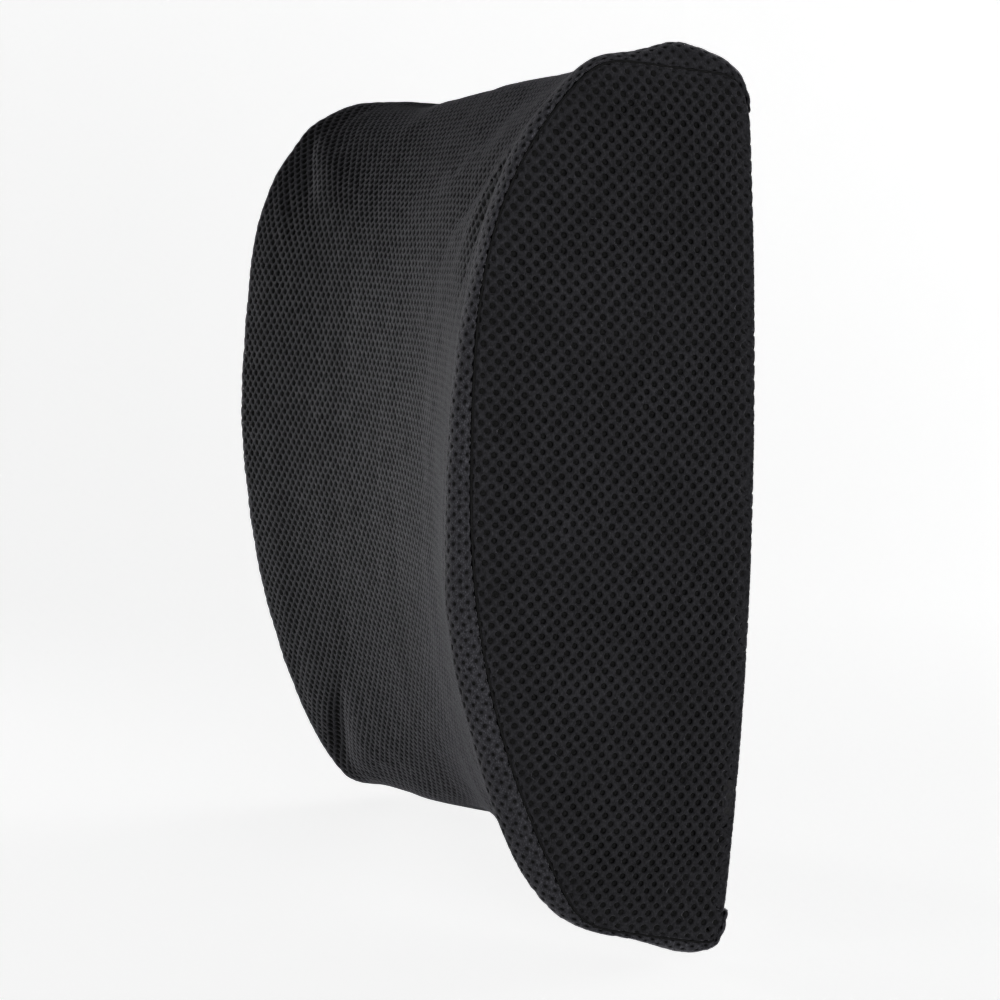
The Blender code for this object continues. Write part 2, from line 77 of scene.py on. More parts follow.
# ---- sizes shared with the CAD ---------------------------------------------------------------
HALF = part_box("side_panel_right")[1].x  # half the cushion's length
SEAM_HEIGHT, SEAM_DEPTH = 0.320, 0.1002
APEX_Z = 0.0182  # height of the front's deepest point
TOP_DEPTH, BOTTOM_DEPTH = 0.0547, 0.0542  # depths of the top and bottom faces
TOP_SLOPE, BOTTOM_SLOPE = 0.0844, 0.1836
UPPER_POWER, LOWER_POWER = 3.434, 2.179  # fullness of the front's two curves
CORNER = 0.0147
BACK_Y = 0.0045
BACK_EDGE_Z = 0.1470  # the back panels reach this far up and down
MIDDLE_RISE, MIDDLE_DEPTH, RECESS_POWER = -0.0025, 0.0829, 2.05  # the hollow between the ends
MIDDLE_SCALE = (MIDDLE_DEPTH - MIDDLE_RISE) / SEAM_DEPTH
ZIP_Z, ZIP_SLOT, ZIP_HALF = -0.105, 0.0075, 0.1445
STRAP_HALF = 0.0125

slider_low, slider_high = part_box("zip_slider")
SHIFT_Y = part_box("side_panel_right")[1].y - BACK_Y
SHIFT_Z = (slider_low.z + slider_high.z) / 2 - ZIP_Z
SHIFT = np.array([0.0, SHIFT_Y, SHIFT_Z])

ROLL = 0.0011  # radius where a panel turns in at a seam
SEAM_GAP = 0.0002
ALLOWANCE = 0.0042  # how far a panel runs on inside the seam
HEM_ALLOWANCE = 0.0046  # and inside its hem at the zip
DIP_X, DIP_WIDTH = 0.014, 0.052  # the dip in the lower back edge


# ---- arithmetic ------------------------------------------------------------------------------
def smoothstep(x, low, high):
    share = np.clip((x - low) / (high - low), 0, 1)
    return share * share * (3 - 2 * share)


def bell(x, centre, width):
    return np.exp(-(((x - centre) / width) ** 2))


def unit(vectors):
    return vectors / np.maximum(np.linalg.norm(vectors, axis=-1, keepdims=True), 1e-12)


def lengths(points):
    """Length along a line up to each of its points."""
    steps = np.linalg.norm(np.diff(points, axis=0), axis=1)
    return np.concatenate([[0], np.cumsum(steps)])


def interp_columns(x, known_x, values):
    return np.stack([np.interp(x, known_x, column) for column in values.T], -1)


def blurred(values, sigma, reach, mode, **padding):
    """A row of values under a Gaussian, padded at its ends in one of numpy's modes."""
    offset = np.arange(-reach, reach + 1)
    weight = np.exp(-(offset**2) / (2 * sigma**2))
    return np.convolve(np.pad(values, reach, mode=mode, **padding), weight / weight.sum(), "valid")


def bilinear(grid, row, column):
    """grid at fractional rows and columns."""
    row = np.clip(row, 0, grid.shape[0] - 1.001)
    column = np.clip(column, 0, grid.shape[1] - 1.001)
    row0, column0 = row.astype(int), column.astype(int)
    down, over = row - row0, column - column0
    if grid.ndim == 3:
        down, over = down[..., None], over[..., None]
    return (
        grid[row0, column0] * (1 - down) * (1 - over)
        + grid[row0 + 1, column0] * down * (1 - over)
        + grid[row0, column0 + 1] * (1 - down) * over
        + grid[row0 + 1, column0 + 1] * down * over
    )


def waves(across, along, seed, longest, count=5):
    """Slow smooth unevenness, about -1 to 1."""
    random = np.random.default_rng(seed)
    total = 0
    for k in range(count):
        length = longest / (1 + k * 0.6)
        angle, phase = random.uniform(0, math.pi), random.uniform(0, 2 * math.pi)
        way = across * math.cos(angle) + along * math.sin(angle)
        total = total + np.sin(2 * math.pi * way / length + phase) / (1 + 0.5 * k)
    return total / 2.2


def place(points):
    """From the cushion's own frame to the object's; the cover's upper left corner droops a little."""
    points = np.array(points, float)
    left, top = smoothstep(-points[..., 0], 0.04, 0.15), smoothstep(points[..., 2], 0.120, 0.165)
    points[..., 2] -= 0.0024 * left * top
    return points + SHIFT


# ---- the D-shaped section --------------------------------------------------------------------
def raw_section():
    """The sharp-cornered section as (depth, height), from the top over the front to the back."""
    half = SEAM_HEIGHT / 2
    top_z = half + TOP_SLOPE * TOP_DEPTH
    bottom_z = -half + BOTTOM_SLOPE * BOTTOM_DEPTH
    top = np.linspace(0, 1, 40)[:-1]
    upper = np.linspace(1, 0, 160)
    lower = np.linspace(0, 1, 160)[1:]
    bottom = np.linspace(0, 1, 40)[1:]
    upper_bulge = (SEAM_DEPTH - TOP_DEPTH) * (1 - upper**UPPER_POWER)
    lower_bulge = (SEAM_DEPTH - BOTTOM_DEPTH) * (1 - lower**LOWER_POWER)
    legs = [
        (-top * TOP_DEPTH, half + top * (top_z - half)),
        (-(TOP_DEPTH + upper_bulge), APEX_Z + (top_z - APEX_Z) * upper),
        (-(BOTTOM_DEPTH + lower_bulge), APEX_Z + (bottom_z - APEX_Z) * lower),
        (-BOTTOM_DEPTH * (1 - bottom), bottom_z + bottom * (-half - bottom_z)),
        (BACK_Y * np.linspace(0, 1, 6)[1:], -half),
        (BACK_Y, -half + 2 * half * np.linspace(0, 1, 150)[1:]),
        (BACK_Y * np.linspace(1, 0, 6)[1:-1], half),
    ]
    return np.concatenate([np.stack(np.broadcast_arrays(y, z), 1) for y, z in legs])


def smooth_section(samples=1200):
    raw = raw_section()
    closed = np.vstack([raw, raw[:1]])
    length = lengths(closed)
    at = np.linspace(0, length[-1], samples, endpoint=False)
    loop = interp_columns(at, length, closed)
    sigma = CORNER / (length[-1] / samples) * 0.5
    return np.stack([blurred(column, sigma, int(sigma * 4), "wrap") for column in loop.T], 1)


def outward(loop):
    step = unit(np.roll(loop, -1, 0) - np.roll(loop, 1, 0))
    normal = np.stack([step[:, 1], -step[:, 0]], 1)
    return normal if ((loop - loop.mean(0)) * normal).sum() > 0 else -normal


SECTION = smooth_section()
SAMPLES = len(SECTION)
on_back = [i for i in range(SAMPLES // 2, SAMPLES) if abs(SECTION[i, 0] - BACK_Y) < 2e-4]
TOP_END = max(i for i in on_back if SECTION[i, 1] <= BACK_EDGE_Z)
BOTTOM_END = min(i for i in on_back if SECTION[i, 1] >= -BACK_EDGE_Z)
Z_TOP, Z_BOTTOM = SECTION[TOP_END, 1], SECTION[BOTTOM_END, 1]
# one lap of the section, starting at the upper seam of the back panel
lap_order = np.arange(TOP_END, TOP_END + SAMPLES + 1) % SAMPLES
LAP_POINTS, LAP_NORMALS = SECTION[lap_order], outward(SECTION)[lap_order]
LAP_LENGTHS = lengths(LAP_POINTS)
WRAP_END = LAP_LENGTHS[(BOTTOM_END - TOP_END) % SAMPLES]  # the wrap panel's length round the section

# How far each end's rim stands proud of the seam: (length along the wrap, rise), in millimetres.
RISE = {
    1: [
        (0, 1.2), (9, 3.0), (15, 5.6), (20, 7.2), (30, 9.7), (37, 10.9), (42, 8.8), (48, 6.2),
        (54, 4.3), (62, 3.4), (72, 2.7), (84, 2.7), (97, 3.5), (110, 3.2), (130, 2.6), (150, 2.8),
        (165, 3.6), (180, 4.8), (201, 6.1), (225, 7.2), (248, 7.9), (272, 9.2), (295, 9.8),
        (320, 9.3), (354, 9.9), (374, 9.4), (385, 8.2), (394, 6.0), (402, 2.9), (412, 2.4),
        (424, 2.8), (433, 4.1), (442, 6.0), (449, 5.5), (455, 3.4), (462, 2.6), (468, 2.5),
    ],
    -1: [
        (0, 1.2), (12, 2.4), (24, 2.8), (36, 2.6), (48, 2.0), (60, 0.9), (70, 1.2), (80, 4.6),
        (90, 8.2), (104, 7.8), (120, 8.4), (132, 8.2), (150, 7.6), (177, 6.5), (200, 7.0),
        (227, 7.8), (241, 7.0), (259, 6.0), (280, 5.3), (335, 5.7), (376, 6.0), (397, 5.4),
        (406, 7.4), (416, 6.0), (430, 4.0), (450, 3.6), (468, 2.5),
    ],
}


def back_bump(z, x=1.0):
    """How far the side panels' back edges stand behind the flat of the back: most at mid-height,
    and drawn in at the zip's left end, where the pull lies over the seam when the zip is open."""
    drawn_in = 0.0009 * bell(z, ZIP_Z, 0.012) * (np.asarray(x) < 0)
    return 0.0092 * (1 - z**2 / np.where(z > 0, 0.0357, 0.0290)) - BACK_Y - drawn_in


def rise_table(side):
    """The rim's rise at each point of the lap; on the back it is the bump, turned about."""
    length, rise = np.array(RISE[side]).T / 1000
    at = LAP_LENGTHS[:-1]
    bump = back_bump(LAP_POINTS[:-1, 1], side)
    value = np.where(at <= WRAP_END, np.interp(at, length, rise), -bump)
    sigma = 0.003 / LAP_LENGTHS[1]
    value = blurred(value, sigma, int(sigma * 4) + 1, "wrap")
    return np.append(value, value[0])


LAP_RISE = {side: rise_table(side) for side in (1, -1)}


def lap(at, table):
    """A value of the lap at a length that may run past either end."""
    at = np.mod(at, LAP_LENGTHS[-1])
    if table.ndim == 1:
        return np.interp(at, LAP_LENGTHS, table)
    return interp_columns(at, LAP_LENGTHS, table)


# ---- the wrap panel's surface ----------------------------------------------------------------
SIDE_LENGTH = 0.180  # length of half the grid, from the middle to past the seam
GRID = 0.001
PAST = 0.007  # how far the grid runs past the back seams


def rolled(distance, hem=False):
    """A panel that turns in at its edge: (how far inside the edge a point lies, how deep it is).

    A hem turns on through a half circle and runs back under the panel."""
    angle = (distance + ROLL * (math.pi / 2 - 1)) / ROLL
    low = -math.pi / 2 if hem else 0.0
    turn = np.clip(angle, low, math.pi / 2)
    inside = ROLL * (1 - np.cos(turn))
    deep = ROLL * (1 - np.sin(turn))
    past = np.maximum(0, (low - angle) * ROLL)
    if hem:
        inside = inside + past
    else:
        deep = deep + past
    return np.where(angle > math.pi / 2, distance, inside), deep


def unevenness(x, along):
    """The cover sits unevenly over the foam: a swell and a dip along the top edge, and drawn in by
    the lower corner and at the lower back edge."""
    top = 0.0026 * bell(x, 0.045, 0.045) - 0.0030 * bell(x, -0.085, 0.035)
    corner = 0.0068 * bell(along, 0.394, 0.026) * bell(x, 0.122, 0.032)
    dip = 0.0105 * bell(along, 0.4282, 0.047) * bell(x, DIP_X, DIP_WIDTH)
    return top * bell(along, 0.060, 0.028) - (corner + dip)


def half_wrap(side, along):
    """Points at even lengths from the middle to past the seam, rows along the section; and the
    seam's length from the middle."""
    point, normal = lap(along, LAP_POINTS)[:, None], unit(lap(along, LAP_NORMALS))[:, None]
    rise = lap(along, LAP_RISE[side])[:, None]
    crest = HALF - (0.0058 + 0.36 * rise)  # a taller rim is a wider one
    edge = HALF - SEAM_GAP
    roll = np.minimum(ROLL, 0.45 * rise)
    floor = roll + SEAM_GAP

    # four stretches: the face, the rim down from its crest, the roll, and the allowance inside
    face = np.linspace(0, 1, 150)[None]
    rim = np.linspace(0, math.pi / 2, 40)[None, 1:]
    curl = np.linspace(0, math.pi / 2, 14)[None, 1:]
    hidden = np.linspace(0, 0.016, 12)[None, 1:]
    recess = face**RECESS_POWER
    face_x = face * crest
    uneven = unevenness(side * face_x, along[:, None]) * (1 - face**8)
    x = np.concatenate([
        face_x,
        crest + (edge - crest) * np.sin(rim),
        edge - roll + roll * np.cos(curl),
        edge - roll - hidden,
    ], 1)
    proud = np.concatenate([
        MIDDLE_RISE + (rise - MIDDLE_RISE) * recess + uneven,
        floor + (rise - floor) * np.cos(rim),
        floor - roll * np.sin(curl),
        SEAM_GAP + 0 * hidden + 0 * rise,
    ], 1)
    count = face.size
    scale = np.ones_like(proud)
    scale[:, :count] = MIDDLE_SCALE + (1 - MIDDLE_SCALE) * recess
    drop = rise - proud
    drop[:, :count] = 0

    y = np.where(point[..., 0] < 0, point[..., 0] * scale, point[..., 0])
    y = y + proud * np.minimum(normal[..., 0], 0) - drop * np.maximum(normal[..., 0], 0)
    z = point[..., 1] + proud * normal[..., 1]
    points = np.stack([side * x, np.minimum(y, BACK_Y), z], -1)
    length = np.array([lengths(row) for row in points])
    even = np.arange(0, SIDE_LENGTH + GRID / 2, GRID)
    out = np.array([interp_columns(even, *row) for row in zip(length, points)])
    return out, length[:, count + rim.size + curl.size // 2]


def wrap_grid():
    """The wrap's points, its across and along stations, and each seam's place in each row."""
    along = np.arange(-PAST, WRAP_END + PAST + GRID / 2, GRID)
    inside, deep = rolled(np.minimum(along, WRAP_END - along))
    flat = np.where(along < WRAP_END / 2, inside, WRAP_END - inside)
    right, right_seam = half_wrap(1, flat)
    left, left_seam = half_wrap(-1, flat)
    grid = np.concatenate([left[:, :0:-1], right], 1)
    grid[..., 1] -= deep[:, None]
    across = np.arange(1 - left.shape[1], right.shape[1]) * GRID
    return grid, across, along, {1: right_seam, -1: left_seam}


WRAP, WRAP_ACROSS, WRAP_ALONG, WRAP_SEAM = wrap_grid()


def wrap_edge(across, along):
    """Distance inside the nearer side seam."""
    right = np.interp(along, WRAP_ALONG, WRAP_SEAM[1]) - across
    left = np.interp(along, WRAP_ALONG, WRAP_SEAM[-1]) + across
    return np.minimum(right, left)


# ---- mesh helpers ----------------------------------------------------------------------------
def linked(name, data):
    obj = bpy.data.objects.new(name, data)
    bpy.context.scene.collection.objects.link(obj)
    return obj


def make_mesh(name, points, polygons, uv):
    """A smooth object from points, arrays of polygons and one UV pair a point."""
    mesh = bpy.data.meshes.new(name)
    corners = np.concatenate([group.ravel() for group in polygons]).astype(np.int32)
    sizes = np.concatenate([np.full(len(group), group.shape[1]) for group in polygons])
    starts = np.concatenate([[0], np.cumsum(sizes)[:-1]]).astype(np.int32)
    mesh.vertices.add(len(points))
    mesh.vertices.foreach_set("co", np.asarray(points, np.float32).ravel())
    mesh.loops.add(len(corners))
    mesh.loops.foreach_set("vertex_index", corners)
    mesh.polygons.add(len(sizes))
    mesh.polygons.foreach_set("loop_start", starts)
    mesh.update(calc_edges=True)
    mesh.shade_smooth()
    layer = mesh.uv_layers.new(name="OFBake")
    layer.data.foreach_set("uv", np.asarray(uv, np.float32)[corners].ravel())
    return linked(name, mesh)


def point_value(obj, name, values):
    attribute = obj.data.attributes.new(name, "FLOAT", "POINT")
    attribute.data.foreach_set("value", np.asarray(values, np.float32))


def sheet(name, points, flip=False):
    """A surface through a grid of points."""
    rows, columns = points.shape[:2]
    index = np.arange(rows * columns).reshape(rows, columns)
    quads = np.stack([index[:-1, :-1], index[:-1, 1:], index[1:, 1:], index[1:, :-1]], -1)
    quads = quads.reshape(-1, 4)
    if flip:
        quads = quads[:, ::-1]
    column, row = np.meshgrid(np.arange(columns), np.arange(rows))
    uv = np.stack([column.ravel(), row.ravel()], -1) / max(rows, columns) * 0.98 + 0.01
    return make_mesh(name, points.reshape(-1, 3), [quads], uv)


# corners and mid-sides of the diamond round a hole, in quarters of the pitch
DIAMOND = np.array([(2, 0), (1, 1), (0, 2), (-1, 1), (-2, 0), (-1, -1), (0, -2), (1, -1)])


def perforated(name, surface, pitch, columns, rows, keep, radius, rings, flip=False, rim=None):
    """Spacer mesh: a staggered lattice of cells, each a diamond round one hole.

    surface(across, along, depth) gives points, keep(across, along) says which cells are made,
    radius(across, along) is each hole's radius, and rings are (share of the radius, depth, points)
    from the outside of a hole inwards. columns and rows are the lattice's first and last."""
    i, j = np.meshgrid(np.arange(columns[0], columns[1] + 1), np.arange(rows[0], rows[1] + 1))
    even = (i + j) % 2 == 0
    i, j = i[even], j[even]
    across, along = i * pitch[0] / 2, j * pitch[1] / 2
    kept = keep(across, along)
    i, j, across, along = i[kept], j[kept], across[kept], along[kept]
    count = len(i)

    # neighbouring diamonds share their points, found by one key a place
    key_i = 2 * (i[:, None] - columns[0]) + DIAMOND[:, 0] + 4
    key_j = 2 * (j[:, None] - rows[0]) + DIAMOND[:, 1] + 4
    width = 2 * (columns[1] - columns[0]) + 10
    used, outer = np.unique(key_j * width + key_i, return_inverse=True)
    outer = outer.reshape(count, 8)
    all_across = [((used % width) - 4 + 2 * columns[0]) * pitch[0] / 4]
    all_along = [((used // width) - 4 + 2 * rows[0]) * pitch[1] / 4]
    depth, hole = [np.zeros(len(used))], [np.zeros(len(used))]

    size = radius(across, along) * (1 + 0.05 * RNG.standard_normal(count))
    stray_across, stray_along = 0.00009 * RNG.standard_normal((2, count))
    first_point = len(used)
    polygons = []
    previous = outer
    for level, (share, deep, points) in enumerate(rings):
        angle = np.arange(points) * 2 * math.pi / points
        ring_radius = size[:, None] * share
        all_across.append(((across + stray_across)[:, None] + ring_radius * np.cos(angle)).ravel())
        all_along.append(((along + stray_along)[:, None] + ring_radius * np.sin(angle)).ravel())
        depth.append(np.full(count * points, deep))
        hole.append(np.full(count * points, (level + 1) / len(rings)))
        ring = first_point + np.arange(count * points).reshape(count, points)
        first_point += count * points
        following = np.roll(previous, -1, 1)
        if points == previous.shape[1]:
            corners = [previous, following, np.roll(ring, -1, 1), ring]
        else:  # twice the points: a five-sided face spans two steps of the ring
            corners = [previous, following, np.roll(ring[:, 0::2], -1, 1), ring[:, 1::2], ring[:, 0::2]]
        polygons.append(np.stack(corners, -1).reshape(-1, len(corners)))
        previous = ring

    across, along = np.concatenate(all_across), np.concatenate(all_along)
    if flip:
        polygons = [group[:, ::-1] for group in polygons]
    span = max(np.ptp(across), np.ptp(along))
    uv = np.stack([(across - across.min()) / span, (along - along.min()) / span], -1) * 0.98 + 0.01
    obj = make_mesh(name, surface(across, along, np.concatenate(depth)), polygons, uv)
    # how far into its hole each point lies, which the material uses to paint shade in the holes
    point_value(obj, "hole", np.concatenate(hole))
    # where the material paints highlight and shade on the rim strip
    point_value(obj, "rim", np.zeros(len(across)) if rim is None else rim(across, along))
    return obj


# ---- cloth simulation ------------------------------------------------------------------------
CLOTH = {
    "quality": 6,
    "mass": 0.25,
    "tension_stiffness": 18,
    "compression_stiffness": 18,
    "shear_stiffness": 8,
    "bending_stiffness": 0.35,
    "tension_damping": 8,
    "compression_damping": 8,
    "vertex_group_mass": "sewn",
    "pin_stiffness": 1,
    "use_pressure": True,
    "uniform_pressure_force": 4.0,
}
LAST_FRAME = 20


def swell(name, points, pinned, cap, flip=False, slack=0.012):
    """How far each point of a panel moves when the panel, sewn down where pinned, is inflated."""
    obj = sheet(name, points, flip)
    group = obj.vertex_groups.new(name="sewn")
    group.add([int(k) for k in np.flatnonzero(pinned.ravel())], 1.0, "REPLACE")
    cloth = obj.modifiers.new("cloth", "CLOTH")
    for key, value in CLOTH.items():
        setattr(cloth.settings, key, value)
    cloth.settings.shrink_min = -slack
    cloth.settings.effector_weights.gravity = 0
    cloth.collision_settings.use_self_collision = False
    cloth.collision_settings.use_collision = False
    cloth.point_cache.frame_start, cloth.point_cache.frame_end = 1, LAST_FRAME + 2
    for frame in range(1, LAST_FRAME + 1):
        bpy.context.scene.frame_set(frame)
    baked = obj.evaluated_get(bpy.context.evaluated_depsgraph_get()).to_mesh()
    settled = np.empty(points.size, np.float32)
    baked.vertices.foreach_get("co", settled)
    moved = settled.reshape(points.shape).astype(float) - points
    bpy.context.scene.frame_set(1)
    bpy.data.objects.remove(obj)
    size = np.linalg.norm(moved, axis=-1, keepdims=True)
    return moved * (cap * np.tanh(size / cap) / np.maximum(size, 1e-9))


# ---- wrap panel ------------------------------------------------------------------------------
COARSE = 5  # grid steps to one step of the simulated cloth
SLOW_SIGMA = 5
PITCH = (0.0054, 0.0053)  # the holes' lattice on the wrap and the back


def grid_normals(grid):
    return unit(np.cross(np.gradient(grid, axis=0), np.gradient(grid, axis=1)))


def slow_part(values):
    for axis in (0, 1):
        values = np.apply_along_axis(blurred, axis, values, SLOW_SIGMA, 3 * SLOW_SIGMA, "edge")
    return values


def swelled_wrap():
    """The wrap's points with the cloth's swell, puckers by the seams and a slow unevenness."""
    across, along = np.meshgrid(WRAP_ACROSS, WRAP_ALONG)
    edge, end = wrap_edge(across, along), np.minimum(along, WRAP_END - along)
    rows = np.arange(7, len(WRAP_ALONG) - 7 + 1, COARSE)
    columns = np.arange(4, len(WRAP_ACROSS) - 4, COARSE)
    coarse = np.ix_(rows, columns)
    sewn = (edge[coarse] < 0.004) | (end[coarse] < 0.003)
    moved = swell("wrap_cloth", WRAP[coarse], sewn, cap=0.0022, flip=True)
    # The section already holds the cover's overall shape, so the folds are added in full and
    # more, the slow part in share, and the sewn rims keep their shape.
    slow = slow_part(moved)
    moved = 1.5 * (moved - slow) + 0.25 * (slow - slow.mean((0, 1)))
    row, column = np.meshgrid(
        (np.arange(len(WRAP_ALONG)) - rows[0]) / COARSE,
        (np.arange(len(WRAP_ACROSS)) - columns[0]) / COARSE,
        indexing="ij",
    )
    fade_end = smoothstep(end, 0.001, 0.006)
    calm = smoothstep(edge, 0.010, 0.030) * smoothstep(along, 0.030, 0.085)
    calm = calm * smoothstep(WRAP_END - along, 0.035, 0.095)
    share = calm * smoothstep(edge, 0.001, 0.006) * fade_end
    grid = WRAP + bilinear(moved, row, column) * share[..., None]

    pucker = waves(across * 0.35, along, seed=3, longest=0.021, count=6)
    pucker = pucker * smoothstep(edge, 0.0, 0.004) * (1 - smoothstep(edge, 0.008, 0.020))
    uneven = waves(across, along, seed=5, longest=0.085, count=6) * smoothstep(edge, 0.004, 0.02)
    lift = (0.00028 * pucker + 0.00032 * uneven) * fade_end
    return grid + grid_normals(grid) * lift[..., None]


WRAP = swelled_wrap()
WRAP_NORMALS = grid_normals(WRAP)


def wrap_surface(across, along, depth):
    across = across + 0.00025 * waves(across, along, seed=21, longest=0.11, count=4)
    along = along + 0.00035 * waves(across, along, seed=22, longest=0.13, count=4)
    row, column = (along - WRAP_ALONG[0]) / GRID, (across - WRAP_ACROSS[0]) / GRID
    normal = unit(bilinear(WRAP_NORMALS, row, column))
    return place(bilinear(WRAP, row, column) - normal * depth[:, None])


def wrap_keep(across, along):
    inside_ends = (along > -ALLOWANCE) & (along < WRAP_END + ALLOWANCE)
    return (wrap_edge(across, along) > -ALLOWANCE) & inside_ends


def wrap_radius(across, along):
    """The holes are smaller on the rim."""
    return 0.00122 * (1 - 0.42 * (1 - smoothstep(wrap_edge(across, along), 0.010, 0.015)))


def wrap_rim(across, along):
    """1 on the compressed strip between crest and seam, where the material paints highlight and shade; on
    the top less, as painted shade that keeps the top darker.
    """
    strip = 1 - smoothstep(wrap_edge(across, along), 0.0095, 0.0135)
    return strip * (0.2 + 0.8 * smoothstep(along, 0.030, 0.085))


def wrap_inner_face():
    """The mesh's inner face: close under the outer one where it bends, deeper on the flat."""
    along = np.linspace(0.0005, WRAP_END - 0.0005, 120)[:, None]
    share = np.linspace(-1, 1, 97)[None]
    right, left = (np.interp(along, WRAP_ALONG, WRAP_SEAM[side]) - 0.0003 for side in (1, -1))
    across = np.where(share > 0, share * right, share * left)
    along = along + 0 * across
    flat = smoothstep(wrap_edge(across, along), 0.013, 0.022)
    flat = flat * smoothstep(along, 0.098, 0.115) * smoothstep(WRAP_END - along, 0.080, 0.098)
    depth = 0.00064 + 0.0011 * flat
    points = wrap_surface(across.ravel(), along.ravel(), depth.ravel())
    return sheet("cover_wrap_inner_face", points.reshape(*across.shape, 3), flip=True)


cover_wrap = perforated(
    "cover_wrap",
    wrap_surface,
    PITCH,
    columns=(-66, 66),
    rows=(-4, int(WRAP_END / PITCH[1] * 2) + 4),
    keep=wrap_keep,
    radius=wrap_radius,
    rings=[(1.0, 0.00050, 8)],
    flip=True,
    rim=wrap_rim,
)
wrap_inner = wrap_inner_face()

# ---- side panels -----------------------------------------------------------------------------
PANEL_STEP = 0.004
PANEL_Y = np.arange(-0.112, 0.020, PANEL_STEP)
PANEL_Z = np.arange(-0.172, 0.178, PANEL_STEP)
# the inner face's rings round the outline: (inset, depth under the panel)
INNER_RINGS = [(0.0004, 0.00118), (0.0016, 0.00118), (0.0035, 0.00120), (0.007, 0.0015), (0.012, 0.0017)]
INNER_SHARES = (0.86, 0.70, 0.54, 0.38, 0.22, 0.10, 0.003)  # and on to its centre


def side_outline(side):
    """The seam line of a side panel as a dense closed loop, with its outward normals."""
    points, normals = LAP_POINTS[:-1].copy(), LAP_NORMALS[:-1]
    # on the back the rise is the bump
    points[:, 0] -= np.maximum(normals[:, 0], 0) * LAP_RISE[side][:-1]
    points -= SEAM_GAP * normals
    return points, outward(points)


def signed_distance(points, loop, normal):
    """Distance inside the loop, and the nearest point's index."""
    distance, nearest = np.empty(len(points)), np.empty(len(points), int)
    for start in range(0, len(points), 4000):
        block = slice(start, start + 4000)
        offset = points[block, None] - loop[None]
        squared = (offset**2).sum(-1)
        closest = squared.argmin(1)
        each = np.arange(len(closest))
        inward = -(offset[each, closest] * normal[closest]).sum(-1)
        distance[block] = np.where(inward >= 0, 1, -1) * np.sqrt(squared[each, closest])
        nearest[block] = closest
    return distance, nearest


def side_grid(side):
    """The panel's grid: (y, z, distance inside the outline, crown above the flat)."""
    y, z = np.meshgrid(PANEL_Y, PANEL_Z)
    flat = np.stack([y.ravel(), z.ravel()], -1)
    distance = signed_distance(flat, *side_outline(side))[0].reshape(y.shape)
    return y, z, distance, 0.0016 * (1 - np.exp(-np.maximum(distance, 0) / 0.018))


def side_swell():
    """The swell of the right panel, which both sides use."""
    y, z, distance, crown = side_grid(1)
    points = np.stack([HALF + crown, y, z], -1)
    swelled = swell("side_cloth", points, distance < 0.004, cap=0.0024, slack=0.006)
    return np.abs(swelled[..., 0]) * smoothstep(distance, 0.001, 0.006)


SIDE_SWELL = side_swell()


def lay(across, along):
    """The cloth was cut askew: its rows run down to the back and its columns lean."""
    y = across - 0.045 + 0.056 * along - 0.334 * along * along
    return np.stack([y, along - 0.083 * across], -1)


def side_panel(side, word):
    loop, normal = side_outline(side)
    puff = SIDE_SWELL + side_grid(side)[3]

    def puff_at(flat, distance):
        row, column = (flat[:, 1] - PANEL_Z[0]) / PANEL_STEP, (flat[:, 0] - PANEL_Y[0]) / PANEL_STEP
        return bilinear(puff, row, column) * smoothstep(distance, 0.0, 0.006)

    def surface(across, along, depth):
        across = across + 0.0003 * waves(across, along, seed=31 + side, longest=0.09, count=4)
        along = along + 0.0003 * waves(across, along, seed=41 + side, longest=0.10, count=4)
        flat = lay(across, along)
        distance, nearest = signed_distance(flat, loop, normal)
        inside, deep = rolled(distance)
        near_edge = distance < ROLL
        turned_in = loop[nearest] - normal[nearest] * inside[:, None]
        flat = np.where(near_edge[:, None], turned_in, flat)
        y, z = flat.T
        uneven = waves(y, z, seed=51 + side, longest=0.07, count=5)
        edge_wave = waves(y, z, seed=61 + side, longest=0.017, count=4)
        edge_strip = (1 - smoothstep(distance, 0.002, 0.010)) * smoothstep(distance, 0, 0.002)
        bulge = puff_at(flat, distance) + 0.00022 * uneven * smoothstep(distance, 0.002, 0.015)
        bulge -= 0.00025 * (1 + edge_wave) * edge_strip
        # depth runs along the surface's own normal: across the roll it turns towards the inside
        turn = np.clip(1 - np.maximum(distance, 0) / ROLL, 0, 1) * (math.pi / 2) * near_edge
        x = HALF + bulge - deep - depth * np.cos(turn)
        flat = flat - normal[nearest] * (depth * np.sin(turn))[:, None]
        return place(np.stack([side * x, flat[:, 0], flat[:, 1]], -1))

    def distance_at(across, along):
        return signed_distance(lay(across, along), loop, normal)[0]

    def radius(across, along):
        return 0.00124 * (1 - 0.12 * (1 - smoothstep(distance_at(across, along), 0.001, 0.004)))

    face = perforated(
        f"cover_side_{word}",
        surface,
        pitch=(0.0051, 0.00552),
        columns=(-40, 40),
        rows=(-70, 70),
        keep=lambda across, along: distance_at(across, along) > -ALLOWANCE,
        radius=radius,
        rings=[(1.42, 0.00006, 16), (1.03, 0.00036, 16), (0.92, 0.00105, 16)],
        flip=side < 0,
    )
    rings = [(loop[::5] - normal[::5] * inset, depth) for inset, depth in INNER_RINGS]
    last, last_depth = rings[-1]
    centre = last.mean(0)
    rings += [(centre + (last - centre) * share, last_depth) for share in INNER_SHARES]
    rows = []
    for ring, depth in rings:
        rise = puff_at(ring, signed_distance(ring, loop, normal)[0])
        row = place(np.stack([side * (HALF + rise - depth), ring[:, 0], ring[:, 1]], -1))
        rows.append(np.vstack([row, row[:1]]))
    return face, sheet(f"cover_side_{word}_inner_face", np.array(rows), flip=side > 0)


side_right, side_right_inner = side_panel(1, "right")
side_left, side_left_inner = side_panel(-1, "left")

# ---- back panels -----------------------------------------------------------------------------
BACK_HALF = HALF - SEAM_GAP
BACK_STEP = 0.005


